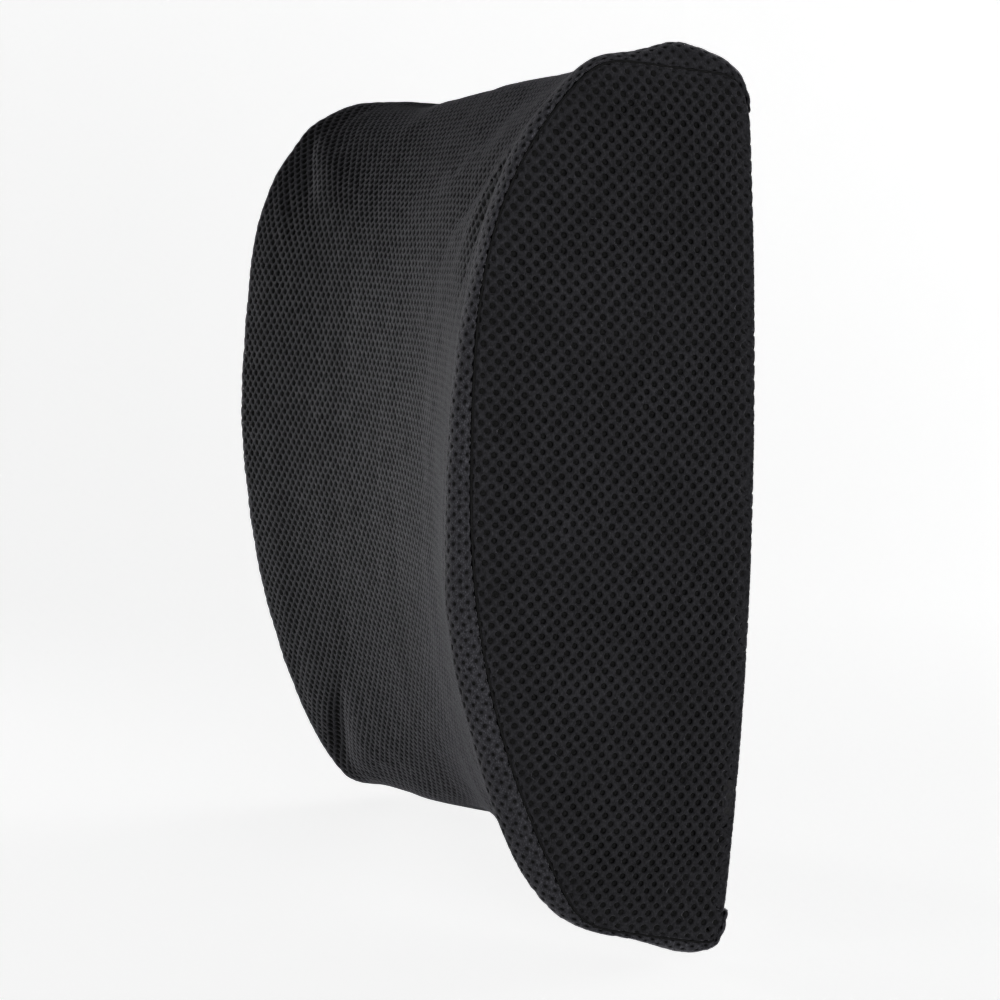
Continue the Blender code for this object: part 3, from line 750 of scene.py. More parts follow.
def back_profile(x, z):
    """(x on the surface, depth below the back face) for length x across the back."""
    inside, deep = rolled(BACK_HALF - np.abs(x))
    flat = BACK_HALF - inside
    return np.sign(x) * flat, deep - back_bump(z, x) * smoothstep(flat, 0.1505, 0.1640)


def back_panel(name, z_low, z_high, zip_low, cap):
    """zip_low says that the zip is along the lower edge."""
    grid_x = np.arange(-0.165, 0.1651, BACK_STEP)
    grid_z = np.arange(z_low, z_high + 0.002, BACK_STEP)
    x, z = np.meshgrid(grid_x, grid_z)
    points = np.stack([x, np.full_like(x, BACK_Y), z], -1)
    pinned = (np.abs(x) > 0.157) | (z < z_low + 0.004) | (z > z_high - 0.004)
    pinned |= np.abs(z) < 0.016
    puff = swell(name + "_cloth", points, pinned, cap, flip=True, slack=0.004)
    puff = np.maximum(puff[..., 1], 0)

    def surface(across, along, depth):
        low_inside, low_deep = rolled(along - z_low, hem=zip_low)
        high_inside, high_deep = rolled(z_high - along, hem=not zip_low)
        is_low = along < (z_low + z_high) / 2
        z = np.where(is_low, z_low + low_inside, z_high - high_inside)
        deep = np.where(is_low, low_deep, high_deep)
        x, drop = back_profile(across, z)
        edge = BACK_HALF - np.abs(across)
        off_strap = smoothstep(np.abs(z), 0.014, 0.034)  # the strap presses in a shallow band
        inner = smoothstep(edge, 0.004, 0.018)
        inner = inner * smoothstep(np.minimum(z - z_low, z_high - z), 0.0015, 0.010) * off_strap
        row, column = (z - grid_z[0]) / BACK_STEP, (x - grid_x[0]) / BACK_STEP
        bulge = bilinear(puff, row, column) * inner
        bulge += 0.0003 * waves(x, z, seed=71, longest=0.08, count=5) * inner
        bulge -= 0.0004 * (1 - off_strap) * smoothstep(edge, 0.001, 0.006)
        if zip_low:
            in_hem = along < z_low - ROLL * 1.3
        else:
            in_hem = along > z_high + ROLL * 1.3
        y = BACK_Y + bulge - drop - deep - depth * np.where(in_hem, -1.0, 1.0) * 0.8
        return place(np.stack([x, y, z], -1))

    def keep(across, along):
        low, high = (HEM_ALLOWANCE, ALLOWANCE) if zip_low else (ALLOWANCE, HEM_ALLOWANCE)
        inside_ends = (along - z_low > -low) & (z_high - along > -high)
        return (BACK_HALF - np.abs(across) > -ALLOWANCE) & inside_ends

    face = perforated(
        name,
        surface,
        PITCH,
        columns=(-66, 66),
        rows=(int(z_low / PITCH[1] * 2) - 3, int(z_high / PITCH[1] * 2) + 3),
        keep=keep,
        radius=lambda across, along: np.full_like(across, 0.00118),
        rings=[(1.0, 0.00045, 8)],
        flip=True,
    )
    end = BACK_HALF - 0.0004
    x, z = np.meshgrid(
        np.linspace(-end, end, 84),
        np.linspace(z_low + 0.0004, z_high - 0.0004, int((z_high - z_low) / 0.004)),
    )
    flat = smoothstep(end - np.abs(x), 0.004, 0.012)
    flat = flat * smoothstep(np.minimum(z - z_low, z_high - z), 0.004, 0.010)
    inner = surface(x.ravel(), z.ravel(), (0.0008 + 0.0013 * flat).ravel())
    return face, sheet(name + "_inner_face", inner.reshape(*x.shape, 3), flip=True)


back_upper, back_upper_inner = back_panel(
    "cover_back_upper", ZIP_Z + ZIP_SLOT, Z_TOP - 0.0004, zip_low=True, cap=0.0020
)
back_lower, back_lower_inner = back_panel(
    "cover_back_lower", Z_BOTTOM + 0.0004, ZIP_Z - ZIP_SLOT, zip_low=False, cap=0.0012
)


# ---- materials -------------------------------------------------------------------------------
class Nodes:
    """Short hand for building the node tree of a material or a world."""

    def __init__(self, owner, shader="Principled BSDF"):
        owner.use_nodes = True
        self.owner = owner
        self.tree = owner.node_tree
        self.shader = self.tree.nodes[shader]
        self.coordinates = self.node("ShaderNodeTexCoord").outputs

    def put(self, sockets, values):
        """Link or set each input; a colour is given as three numbers."""
        for key, value in values.items():
            socket = sockets[key]
            if hasattr(value, "is_linked"):
                self.tree.links.new(value, socket)
            elif socket.type == "RGBA":
                socket.default_value = (*value, 1)
            else:
                socket.default_value = value

    def node(self, kind, inputs=None, **settings):
        node = self.tree.nodes.new(kind)
        for key, value in settings.items():
            setattr(node, key, value)
        self.put(node.inputs, inputs or {})
        return node

    def set(self, values):
        self.put(self.shader.inputs, values)

    def noise(self, scale, detail=2.0, roughness=0.5, stretch=None):
        vector = self.coordinates["Object"]
        if stretch:
            mapping = self.node("ShaderNodeMapping", {"Scale": stretch, "Vector": vector})
            vector = mapping.outputs["Vector"]
        inputs = {"Vector": vector, "Scale": scale, "Detail": detail, "Roughness": roughness}
        return self.node("ShaderNodeTexNoise", inputs).outputs["Fac"]

    def cells(self, scale):
        inputs = {"Vector": self.coordinates["Object"], "Scale": scale}
        return self.node("ShaderNodeTexVoronoi", inputs).outputs["Distance"]

    def attribute(self, name):
        return self.node("ShaderNodeAttribute", attribute_name=name).outputs["Fac"]

    def remap(self, value, low, high, to=(0, 1)):
        inputs = {"Value": value, "From Min": low, "From Max": high, "To Min": to[0], "To Max": to[1]}
        return self.node("ShaderNodeMapRange", inputs).outputs["Result"]

    def product(self, first, second):
        return self.node("ShaderNodeMath", {0: first, 1: second}, operation="MULTIPLY").outputs[0]

    def mix(self, factor, first, second):
        inputs = {0: factor, 6: first, 7: second}
        return self.node("ShaderNodeMix", inputs, data_type="RGBA").outputs[2]

    def scaled(self, colour, factor):
        inputs = {0: colour, "Scale": factor}
        return self.node("ShaderNodeVectorMath", inputs, operation="SCALE").outputs[0]

    def bump(self, height, distance, strength, normal=None):
        inputs = {"Strength": strength, "Distance": distance, "Height": height}
        if normal is not None:
            inputs["Normal"] = normal
        return self.node("ShaderNodeBump", inputs).outputs["Normal"]

    def soft_edges(self, radius):
        return self.node("ShaderNodeBevel", {"Radius": radius}, samples=4).outputs["Normal"]


def material_nodes(name):
    return Nodes(bpy.data.materials.new(name))


def grey(level):
    return (level,) * 3


def spacer_mesh(name, level, sheen):
    """Black polyester spacer mesh: fine yarn, paler flecks on the high yarns, painted shade in the holes,
    and painted highlight and shade on the rim strip.
    """
    nodes = material_nodes(name)

    def shade(factor):
        return tuple(level * factor * channel for channel in (1.0, 0.99, 1.15))

    dark, pale = shade(0.42), shade(2.3)
    fibre = nodes.noise(scale=2300, roughness=0.6, stretch=(1, 1, 0.45))
    tuft = nodes.noise(scale=900, roughness=0.55)
    slow = nodes.noise(scale=34, detail=3, roughness=0.55)
    colour = nodes.mix(nodes.remap(fibre, low=0.30, high=0.72), dark, shade(1))
    colour = nodes.mix(nodes.remap(fibre, low=0.60, high=0.82), colour, pale)
    tufts = nodes.product(nodes.remap(tuft, low=0.35, high=0.75), 0.45)
    colour = nodes.mix(tufts, colour, pale)
    hole = nodes.attribute("hole")
    rim_painted_light = nodes.attribute("rim")
    # the compressed rim strip is painted paler and flecked as painted highlight, and pitted with painted
    # shade
    fleck = nodes.noise(scale=2100, roughness=0.6, stretch=(1, 1, 0.6))
    fleck = nodes.product(nodes.remap(fleck, low=0.50, high=0.72), rim_painted_light)
    colour = nodes.mix(nodes.product(rim_painted_light, 0.62), colour, pale)
    # painted shade: dark pits on the rim strip
    pit_shade = nodes.remap(nodes.cells(scale=430), low=0.16, high=0.34, to=(0.75, 0))
    colour = nodes.mix(fleck, colour, shade(5.5))
    colour = nodes.mix(nodes.product(pit_shade, rim_painted_light), colour, dark)
    # painted shade: colour darkened down the holes' walls, darkest at the inner ring
    wall = nodes.remap(hole, low=0.35, high=1.0)
    colour = nodes.mix(nodes.product(wall, 0.8), colour, shade(0.6))
    relief = nodes.bump(fibre, distance=0.00022, strength=0.85)
    nodes.set({
        "Base Color": nodes.scaled(colour, nodes.remap(slow, low=0.3, high=0.7, to=(0.86, 1.14))),
        "Roughness": nodes.remap(fibre, low=0.3, high=0.8, to=(0.92, 0.62)),
        "Specular IOR Level": 0.22,
        "Sheen Weight": nodes.product(nodes.remap(wall, low=0, high=1, to=(1, 0.25)), sheen),
        "Sheen Roughness": 0.42,
        "Sheen Tint": (0.80, 0.79, 0.86),
        "Normal": nodes.bump(tuft, distance=0.00030, strength=0.6, normal=relief),
    })
    return nodes.owner


def inner_fabric(name, level):
    nodes = material_nodes(name)
    knit = nodes.noise(scale=1500)
    share = nodes.remap(knit, low=0.35, high=0.7)
    nodes.set({
        "Base Color": nodes.mix(share, grey(level * 0.5), grey(level * 1.6)),
        "Roughness": 0.95,
        "Specular IOR Level": 0.1,
        "Normal": nodes.bump(knit, distance=0.0003, strength=0.7),
    })
    return nodes.owner


def yarn(name, level, rough, sheen=0.2, scale=1400, relief=0.00016):
    nodes = material_nodes(name)
    fibre = nodes.noise(scale, detail=3, roughness=0.6, stretch=(1, 1, 0.6))
    slow = nodes.noise(scale=60)
    high_yarn = (level * 1.5, level * 1.48, level * 1.6)
    colour = nodes.mix(nodes.remap(fibre, low=0.3, high=0.75), grey(level * 0.5), high_yarn)
    nodes.set({
        "Base Color": nodes.scaled(colour, nodes.remap(slow, low=0.3, high=0.7, to=(0.85, 1.15))),
        "Roughness": nodes.remap(fibre, low=0.3, high=0.8, to=(rough, rough - 0.15)),
        "Specular IOR Level": 0.3,
        "Sheen Weight": sheen,
        "Sheen Roughness": 0.4,
        "Normal": nodes.bump(fibre, relief, strength=0.7),
    })
    return nodes.owner


def plastic(name, level, rough, grain):
    """Moulded black plastic with a fine satin grain and softened edges."""
    nodes = material_nodes(name)
    fine, slow = nodes.noise(scale=2600), nodes.noise(scale=90, detail=3, roughness=0.55)
    share = nodes.remap(slow, low=0.3, high=0.7)
    nodes.set({
        "Base Color": nodes.mix(share, grey(level * 0.85), grey(level * 1.2)),
        "Roughness": nodes.remap(slow, low=0.3, high=0.7, to=(rough - 0.04, rough + 0.06)),
        "Specular IOR Level": 0.5,
        "Normal": nodes.bump(fine, grain, strength=0.6, normal=nodes.soft_edges(0.0004)),
    })
    return nodes.owner


def dark_metal(name, level):
    nodes = material_nodes(name)
    slow = nodes.noise(scale=300, detail=3, roughness=0.55)
    fine = nodes.noise(scale=3000, roughness=0.6)
    low_tone = (level * 0.8, level * 0.8, level * 0.84)
    high_tone = (level * 1.2, level * 1.2, level * 1.26)
    nodes.set({
        "Base Color": nodes.mix(nodes.remap(slow, low=0.3, high=0.7), low_tone, high_tone),
        "Metallic": 0.92,
        "Roughness": nodes.remap(slow, low=0.3, high=0.7, to=(0.26, 0.40)),
        "Normal": nodes.bump(fine, 0.00002, strength=0.5, normal=nodes.soft_edges(0.00018)),
    })
    return nodes.owner


def foam(name):
    nodes = material_nodes(name)
    rough, slow = nodes.noise(scale=900, detail=4, roughness=0.7), nodes.noise(scale=20, detail=3)
    # painted shade: darker colour at the middle of each pore
    pore_shade = nodes.remap(nodes.cells(scale=700), low=0.0, high=0.35)
    colour = nodes.mix(pore_shade, (0.46, 0.40, 0.27), (0.80, 0.74, 0.58))
    yellowed = nodes.remap(slow, low=0.3, high=0.7, to=(0, 0.35))
    nodes.set({
        "Base Color": nodes.mix(yellowed, colour, (0.72, 0.62, 0.42)),
        "Roughness": 0.95,
        "Specular IOR Level": 0.15,
        "Subsurface Weight": 0.1,
        "Subsurface Scale": 0.002,
        "Normal": nodes.bump(rough, distance=0.0006, strength=0.7),
    })
    return nodes.owner


FABRIC = spacer_mesh("spacer_mesh_black", level=0.020, sheen=0.38)
FABRIC_SIDE = spacer_mesh("spacer_mesh_black_side", level=0.023, sheen=0.28)
INNER = inner_fabric("spacer_mesh_inner", level=0.0125)
WEBBING = yarn("webbing_black", level=0.027, rough=0.70, sheen=0.3, scale=1500)
TAPE_CLOTH = yarn("zip_tape_black", level=0.022, rough=0.85, scale=2000, relief=0.00010)
THREAD = yarn("thread_black", level=0.038, rough=0.55, scale=3000, relief=0.00006)
LINER_CLOTH = yarn("liner_grey", level=0.50, rough=0.92, sheen=0.3, scale=1300, relief=0.00020)
COIL = plastic("coil_nylon", level=0.022, rough=0.34, grain=0.00002)
BUCKLE = plastic("buckle_acetal", level=0.014, rough=0.36, grain=0.00004)
METAL = dark_metal("gunmetal", level=0.10)
# painted shade: seams coloured darker than thread and fabric, for the shade in their creases
SEAM = yarn("seam_painted_shade", level=0.006, rough=0.9, sheen=0.0)
FOAM = foam("memory_foam")


def finished(obj, material, stands_for=(), body="cushion"):
    """Give a piece its material and tell the frame about it."""
    obj.data.materials.clear()  # a carved mesh may come with an empty slot
    obj.data.materials.append(material)
    if body:
        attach(obj, body)
    if stands_for:
        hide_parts(*stands_for)
    return obj


def grid_piece(name, rows, material, stands_for=(), flip=False):
    return finished(sheet(name, rows, flip), material, stands_for)


for panel, material, cad_name in (
    (cover_wrap, FABRIC, "wrap_panel"),
    (side_right, FABRIC_SIDE, "side_panel_right"),
    (side_left, FABRIC_SIDE, "side_panel_left"),
    (back_upper, FABRIC, "back_panel_upper"),
    (back_lower, FABRIC, "back_panel_lower"),
):
    finished(panel, material, [cad_name])
for panel in (wrap_inner, side_right_inner, side_left_inner, back_upper_inner, back_lower_inner):
    finished(panel, INNER)


# ---- building hard-edged pieces --------------------------------------------------------------
def rounded(corners, radius, steps=5):
    """A closed outline with its corners rounded."""
    if radius <= 0:
        return list(corners)
    corners = [np.array(corner, float) for corner in corners]
    out = []
    for k, corner in enumerate(corners):
        before, after = corners[k - 1] - corner, corners[(k + 1) % len(corners)] - corner
        before_length, after_length = np.linalg.norm(before), np.linalg.norm(after)
        before, after = before / before_length, after / after_length
        half = math.acos(float(np.clip(before @ after, -1, 1))) / 2
        if half > 1.5:
            out.append(tuple(corner))
            continue
        reach = min(radius / math.tan(half), 0.45 * before_length, 0.45 * after_length)
        fitted = reach * math.tan(half)
        middle = (before + after) / np.linalg.norm(before + after)
        centre = corner + middle * (fitted / math.sin(half))
        start, stop = corner + before * reach - centre, corner + after * reach - centre
        first = math.atan2(start[1], start[0])
        turn = (math.atan2(stop[1], stop[0]) - first + math.pi) % (2 * math.pi) - math.pi
        for share in np.linspace(0, 1, steps):
            angle = first + turn * share
            out.append((centre[0] + fitted * math.cos(angle), centre[1] + fitted * math.sin(angle)))
    return out


def rectangle(x0, x1, z0, z1, radius, steps=5):
    return rounded([(x0, z0), (x1, z0), (x1, z1), (x0, z1)], radius, steps)


def mirrored(half):
    """A whole outline from its upper half, given from one end to the other."""
    return list(half) + [(x, -z) for x, z in reversed(half)]


def moved_x(outline, x0):
    return [(x + x0, other) for x, other in outline]


def ellipse(x0, y0, radius_x, radius_y, points):
    angles = np.linspace(0, 2 * math.pi, points + 1)[:-1]
    return [(x0 + radius_x * math.cos(a), y0 + radius_y * math.sin(a)) for a in angles]


def slab(outline, low, high, bevel=0.0, segments=3, upright=False, height=0.0):
    """A solid: an (x, z) outline from depth low to high, at a height. Upright, an (x, depth)
    outline from z low to high."""
    solid = bmesh.new()
    if upright:
        places = [(x, y + SHIFT_Y, low + height + SHIFT_Z) for x, y in outline]
        step = Vector((0, 0, high - low))
    else:
        places = [(x, low + SHIFT_Y, z + height + SHIFT_Z) for x, z in outline]
        step = Vector((0, high - low, 0))
    face = solid.faces.new([solid.verts.new(point) for point in places])
    made = bmesh.ops.extrude_face_region(solid, geom=[face])["geom"]
    top = [item for item in made if isinstance(item, bmesh.types.BMVert)]
    bmesh.ops.translate(solid, verts=top, vec=step)
    bmesh.ops.recalc_face_normals(solid, faces=solid.faces[:])
    if bevel:
        caps = [face for face in solid.faces if len(face.verts) == len(outline)]
        bmesh.ops.bevel(
            solid,
            geom=list({edge for face in caps for edge in face.edges}),
            offset=bevel,
            offset_type="OFFSET",
            segments=segments,
            profile=0.5,
            affect="EDGES",
            clamp_overlap=True,
        )
    return solid


def from_bmesh(name, solid):
    mesh = bpy.data.meshes.new(name)
    solid.to_mesh(mesh)
    solid.free()
    return linked(name, mesh)


def carved(name, base, joined=(), cut=(), joined_after=()):
    """One object: base with solids joined on, others cut away, and more joined on after the cuts."""
    obj = from_bmesh(name, base)
    tools = []
    for operation, group in (("UNION", joined), ("DIFFERENCE", cut), ("UNION", joined_after)):
        for solid in group:
            tool = from_bmesh(f"{name}_tool", solid)
            modifier = obj.modifiers.new("carve", "BOOLEAN")
            modifier.operation, modifier.object, modifier.solver = operation, tool, "EXACT"
            tools.append(tool)
    bpy.context.view_layer.update()
    evaluated = obj.evaluated_get(bpy.context.evaluated_depsgraph_get())
    mesh = bpy.data.meshes.new_from_object(evaluated)
    obj.modifiers.clear()
    uncut, obj.data = obj.data, mesh
    bpy.data.meshes.remove(uncut)
    mesh.name = name
    for tool in tools:
        data = tool.data
        bpy.data.objects.remove(tool)
        bpy.data.meshes.remove(data)
    mesh.shade_smooth()
    mesh.set_sharp_from_angle(angle=math.radians(38))
    return obj


# ---- woven bands, thread and coils -----------------------------------------------------------
FINE = 0.0001  # step at which a band's path is smoothed


def resampled(path, step, sigma):
    """A smoothed path at even steps, and the length at each."""
    path = np.array(path, float)
    length = lengths(path)
    points = interp_columns(np.arange(0, length[-1], FINE), length, path)
    if sigma:
        reach = int(4 * sigma / FINE)
        columns = [
            blurred(column, sigma / FINE, reach, "reflect", reflect_type="odd") for column in points.T
        ]
        points = np.stack(columns, 1)
    pick = np.linspace(0, len(points) - 1, int(length[-1] / step) + 2)
    return interp_columns(pick, np.arange(len(points)), points), pick * FINE


def woven_band(path, z_low, z_high, half_thickness, relief, across=56, step=0.0005, sigma=0.0006):
    """A grid of points round a flat band on an (x, depth) path: rows along it, columns round it."""
    centre, along = resampled(path, step, sigma)
    tangent = unit(np.gradient(centre, axis=0))
    normal = np.stack([-tangent[:, 1], tangent[:, 0]], 1)
    share = np.linspace(-1, 1, across)
    share = np.sign(share) * (1 - (1 - np.abs(share)) ** 1.25)  # closer at the selvedges
    width_z = (z_low + z_high) / 2 + share * (z_high - z_low) / 2
    body = half_thickness * np.clip(1 - np.abs(share) ** 26, 0, 1) ** 0.5
    faces = []
    for side in (1, -1):
        z = width_z[None, ::side]
        weave = relief(along[:, None], z) * (1 - np.abs(share[None, ::side]) ** 12)
        lift = side * (body[None, ::side] + weave)
        x, y = centre[:, :1] + normal[:, :1] * lift, centre[:, 1:] + normal[:, 1:] * lift
        faces.append(np.stack([x, y, z + 0 * x], -1))
    faces.append(faces[0][:, :1])
    return np.concatenate(faces, 1) + SHIFT


def capped(rows, first=True, last=True):
    """The band's ends closed on its middle line."""
    count = (rows.shape[1] - 1) // 2

    def closed(row, neighbour):
        middle = row[:count] * 0.5 + row[count : 2 * count][::-1] * 0.5
        flat = np.concatenate([middle, middle[::-1], middle[:1]])
        return (flat + (row - neighbour) * 0.4)[None]

    parts = [rows]
    if first:
        parts.insert(0, closed(rows[0], rows[1]))
    if last:
        parts.append(closed(rows[-1], rows[-2]))
    return np.concatenate(parts)


def rib_relief(along, z):
    """Twelve ribs, and the weft crossing each in turn."""
    rib = z / 0.00208
    weft = np.cos(2 * math.pi * along / 0.00125 + math.pi * np.floor(rib + 0.5))
    return 0.00012 * np.cos(2 * math.pi * rib) + 0.00004 * weft


def tape_relief(along, z):
    """Herringbone twill."""
    width = 0.0021
    slant = 0.8 * np.abs((z / width) % 2 - 1) * width
    return 0.00004 * np.cos(2 * math.pi * (along + slant) / 0.0009)


def tube(points, radius):
    """A six-sided grid round a space curve."""
    tangent = unit(np.gradient(points, axis=0))
    side = unit(np.cross(tangent, np.array([1.0, 0.0, 0.0])))[:, None]
    up = np.cross(tangent, side[:, 0])[:, None]
    angle = np.linspace(0, 2 * math.pi, 7)[None, :, None]
    radius = np.broadcast_to(radius, len(points))[:, None, None]
    return points[:, None] + radius * (np.cos(angle) * side + np.sin(angle) * up)


# a stitch's rings: place along its half length, and share of its radius
STITCH_PLACES = np.array([-1, -0.86, -0.5, 0, 0.5, 0.86, 1.0])
STITCH_RADII = np.array([0.05, 0.62, 0.95, 1.0, 0.95, 0.62, 0.05])


def stitches(name, lines, pitch, length, radius):
    """Runs of stitches on lines of (x, depth, z) points: each a short capsule sunk at both ends."""
    centres, directions = [], []
    for line in lines:
        line = np.array(line, float) + SHIFT
        at_point = lengths(line)
        at = np.arange(pitch / 2, at_point[-1], pitch)
        centres.append(interp_columns(at, at_point, line))
        ahead, behind = (interp_columns(at + step, at_point, line) for step in (1e-4, -1e-4))
        directions.append(unit(ahead - behind))
    centres = np.concatenate(centres)[:, None, None]
    directions = np.concatenate(directions)
    side = unit(np.cross(directions, np.array([0.0, 1.0, 0.0])))
    up = np.cross(side, directions)[:, None, None]
    side, directions = side[:, None, None], directions[:, None, None]
    places, radii = STITCH_PLACES[None, :, None, None], STITCH_RADII[None, :, None, None]
    angle = (np.arange(6) * math.pi / 3)[None, None, :, None]
    points = (
        centres
        + directions * (places * length / 2)
        - up * (radius * 0.9 * places**4)
        + (side * np.cos(angle) + up * np.sin(angle)) * (radius * radii)
    )
    count = len(centres)
    index = np.arange(count * 42).reshape(count, 7, 6)
    around = np.roll(index, -1, 2)
    quads = np.stack([index[:, :-1], around[:, :-1], around[:, 1:], index[:, 1:]], -1)
    cells = int(math.ceil(math.sqrt(count)))  # each stitch has its own cell of the UV square
    stitch, ring, corner = np.meshgrid(np.arange(count), np.arange(7), np.arange(6), indexing="ij")
    uv_x = (stitch % cells + 0.1 + 0.8 * ring / 6) / cells
    uv_y = (stitch // cells + 0.1 + 0.8 * corner / 5) / cells
    uv = np.stack([uv_x.ravel(), uv_y.ravel()], -1)
    return make_mesh(name, points.reshape(-1, 3), [quads.reshape(-1, 4)], uv)


def crossed_box(x0, x1, half, y):
    """Lines of stitching: a box at depth y, and its two diagonals."""
    low0, high0, low1, high1 = (x0, y, -half), (x0, y, half), (x1, y, -half), (x1, y, half)
    return [[low0, low1, high1, high0, low0], [low0, high1], [high0, low1]]


# ---- inside: foam core and its bag -----------------------------------------------------------
def inner_block(name, inset, end, crease, seed, material, stands_for):
    """A block that follows the cover at an inset, with rounded ends and creased skin."""
    along = np.linspace(0, LAP_LENGTHS[-1], 321)[:-1]
    point, normal = lap(along, LAP_POINTS), unit(lap(along, LAP_NORMALS))
    end_round = 0.009
    flat = end - end_round
    bend = end_round * np.sin(np.linspace(0, math.pi / 2, 9))
    stations = [-flat - bend[:0:-1], np.linspace(-flat, flat, 85), flat + bend[1:]]
    rows = []
    for x in np.concatenate(stations):
        share = min(abs(x) / (HALF - 0.009), 1.0)
        recess = share**RECESS_POWER
        past = max(0.0, abs(x) - flat) / end_round
        sunk = inset + end_round * (1 - math.sqrt(max(0.0, 1 - past * past)))
        proud = MIDDLE_RISE * (1 - recess) + unevenness(x, along) * (1 - share**8)
        wave = crease * waves(x, along, seed, longest=0.06, count=6) * (1 - past)
        sunk = sunk + np.abs(wave)
        scale = MIDDLE_SCALE + (1 - MIDDLE_SCALE) * recess
        y = np.where(point[:, 0] < 0, point[:, 0] * scale, point[:, 0])
        y = y + proud * np.minimum(normal[:, 0], 0) - sunk * normal[:, 0]
        z = point[:, 1] + proud * normal[:, 1] - sunk * normal[:, 1]
        # the lower back edge is drawn up under the dip in the cover
        dip = 0.0068 * bell(x, DIP_X, DIP_WIDTH)
        z = z + dip * (1 - smoothstep(z, -0.150, -0.122)) * smoothstep(y, -0.035, -0.012)
        rows.append(np.stack([np.full(len(along), x), y, z], -1))

    def cap(row, shares):
        centre = row.mean(0)
        return [centre + (row - centre) * share for share in shares]

    shares = (0.8, 0.55, 0.3, 0.1, 0.003)
    rows = np.array(cap(rows[0], shares[::-1]) + rows + cap(rows[-1], shares))
    rows = np.concatenate([rows, rows[:, :1]], 1)
    grid_piece(name, place(rows), material, stands_for)


inner_block("core_foam", inset=0.0070, end=HALF - 0.0072, crease=0.0, seed=81,
            material=FOAM, stands_for=["foam_core"])
inner_block("core_bag", inset=0.0050, end=HALF - 0.0052, crease=0.0005, seed=82,
            material=LINER_CLOTH, stands_for=["inner_liner"])


# ---- seams -----------------------------------------------------------------------------------
def side_seam(word, side):
    """A line of thread and turned edges sunk between the panels, coloured darker than thread or fabric:
    painted shade in the seam's crease.
    """
    loop, normal = side_outline(side)
    loop, normal = loop[::3], normal[::3]
    at_back = smoothstep(normal[:, 0], 0.3, 0.7)
    loop = loop + normal * (SEAM_GAP - 0.0012 * at_back)[:, None]
    x = side * (HALF - 0.00060 - 0.0006 * at_back)
    line = place(np.stack([x, loop[:, 0], loop[:, 1]], -1))
    line = np.concatenate([line, line[:1]])
    ripple = 0.00042 * (1 + 0.16 * np.sin(np.arange(len(line)) * 2.1))
    grid_piece(f"seam_{word}", tube(line, ripple), SEAM, flip=side < 0)


side_seam("right", 1)
side_seam("left", -1)

# a back seam's section, (depth from the back face, height from the seam): the panels' turned
# edges, drawn together into a ridge that closes the join, coloured dark as painted shade in the join
RIDGE = np.array([
    (-0.0034, -0.0026), (-0.0030, -0.0020), (-0.0014, -0.0003), (-0.0011, 0),
    (-0.0014, 0.0003), (-0.0030, 0.0020), (-0.0034, 0.0026),
])
for word, seam_z in (("upper", Z_TOP - 0.0002), ("lower", Z_BOTTOM + 0.0002)):
    ends = HALF - 0.004
    x, depth = np.meshgrid(np.linspace(-ends, ends, 220), RIDGE[:, 0], indexing="ij")
    rows = np.stack([x, BACK_Y + depth, seam_z + RIDGE[:, 1] + 0 * x], -1)
    grid_piece(f"seam_back_{word}", place(rows), SEAM)

# ---- zip -------------------------------------------------------------------------------------
TAPE_Y = BACK_Y - 0.0033  # the tapes' outer face
TAPE_HALF = 0.157
COIL_Y = BACK_Y - 0.0021
COIL_PITCH, COIL_POINTS = 0.0014, 14  # length of a turn, and points to it
END_TAB_X, END_TAB_HALF = 0.1493, 0.0071


def zip_half(word, sign):
    """One tape and its coil; the two coils mesh half a turn apart."""
    low, high = sorted((ZIP_Z + sign * 0.0004, ZIP_Z + sign * 0.0125))
    path = [(-TAPE_HALF, TAPE_Y - 0.00035), (TAPE_HALF, TAPE_Y - 0.00035)]
    rows = woven_band(path, low, high, 0.00028, tape_relief, across=40, step=0.0006, sigma=0)
    grid_piece(f"tape_{word}", capped(rows), TAPE_CLOTH, [f"zip_tape_{word}"])
    turns = int(2 * ZIP_HALF / COIL_PITCH) - 1
    angle = np.arange(turns * COIL_POINTS + 1) * 2 * math.pi / COIL_POINTS
    start = -ZIP_HALF + 0.0004 + (COIL_PITCH / 2 if sign < 0 else 0)
    x = start + COIL_PITCH * angle / (2 * math.pi)
    reach = np.sign(np.cos(angle)) * np.abs(np.cos(angle)) ** 0.8
    y = COIL_Y + 0.00058 * np.sin(angle)
    z = ZIP_Z + sign * (0.00106 - 0.00108 * reach)
    head = 1 + 0.16 * np.clip(reach, 0, 1) ** 4  # the coil is thicker where it meets the other
    rows = tube(np.stack([x, y, z], -1) + SHIFT, 0.00030 * head)
    grid_piece(f"coil_{word}", rows, COIL, [f"zip_coil_{word}"], flip=True)


def zip_end(word, sign):
    """A tab of tape closes the opening between the last coil and the side seam."""
    across, z = np.meshgrid(
        np.linspace(END_TAB_X, HALF + 0.0040, 60),
        np.linspace(ZIP_Z - END_TAB_HALF, ZIP_Z + END_TAB_HALF, 36),
    )
    x, drop = back_profile(across, z)
    from_middle = np.abs(z - ZIP_Z)
    edge = np.minimum(across - END_TAB_X, END_TAB_HALF - from_middle)
    twill = 0.00004 * np.cos(2 * math.pi * (across + from_middle) / 0.0009)
    y = BACK_Y - 0.0012 - 0.0010 * (1 - np.clip(edge / 0.0008, 0, 1)) ** 2 + twill - drop
    rows = place(np.stack([sign * x, y, z], -1))
    grid_piece(f"zip_end_{word}", rows, TAPE_CLOTH, flip=sign > 0)


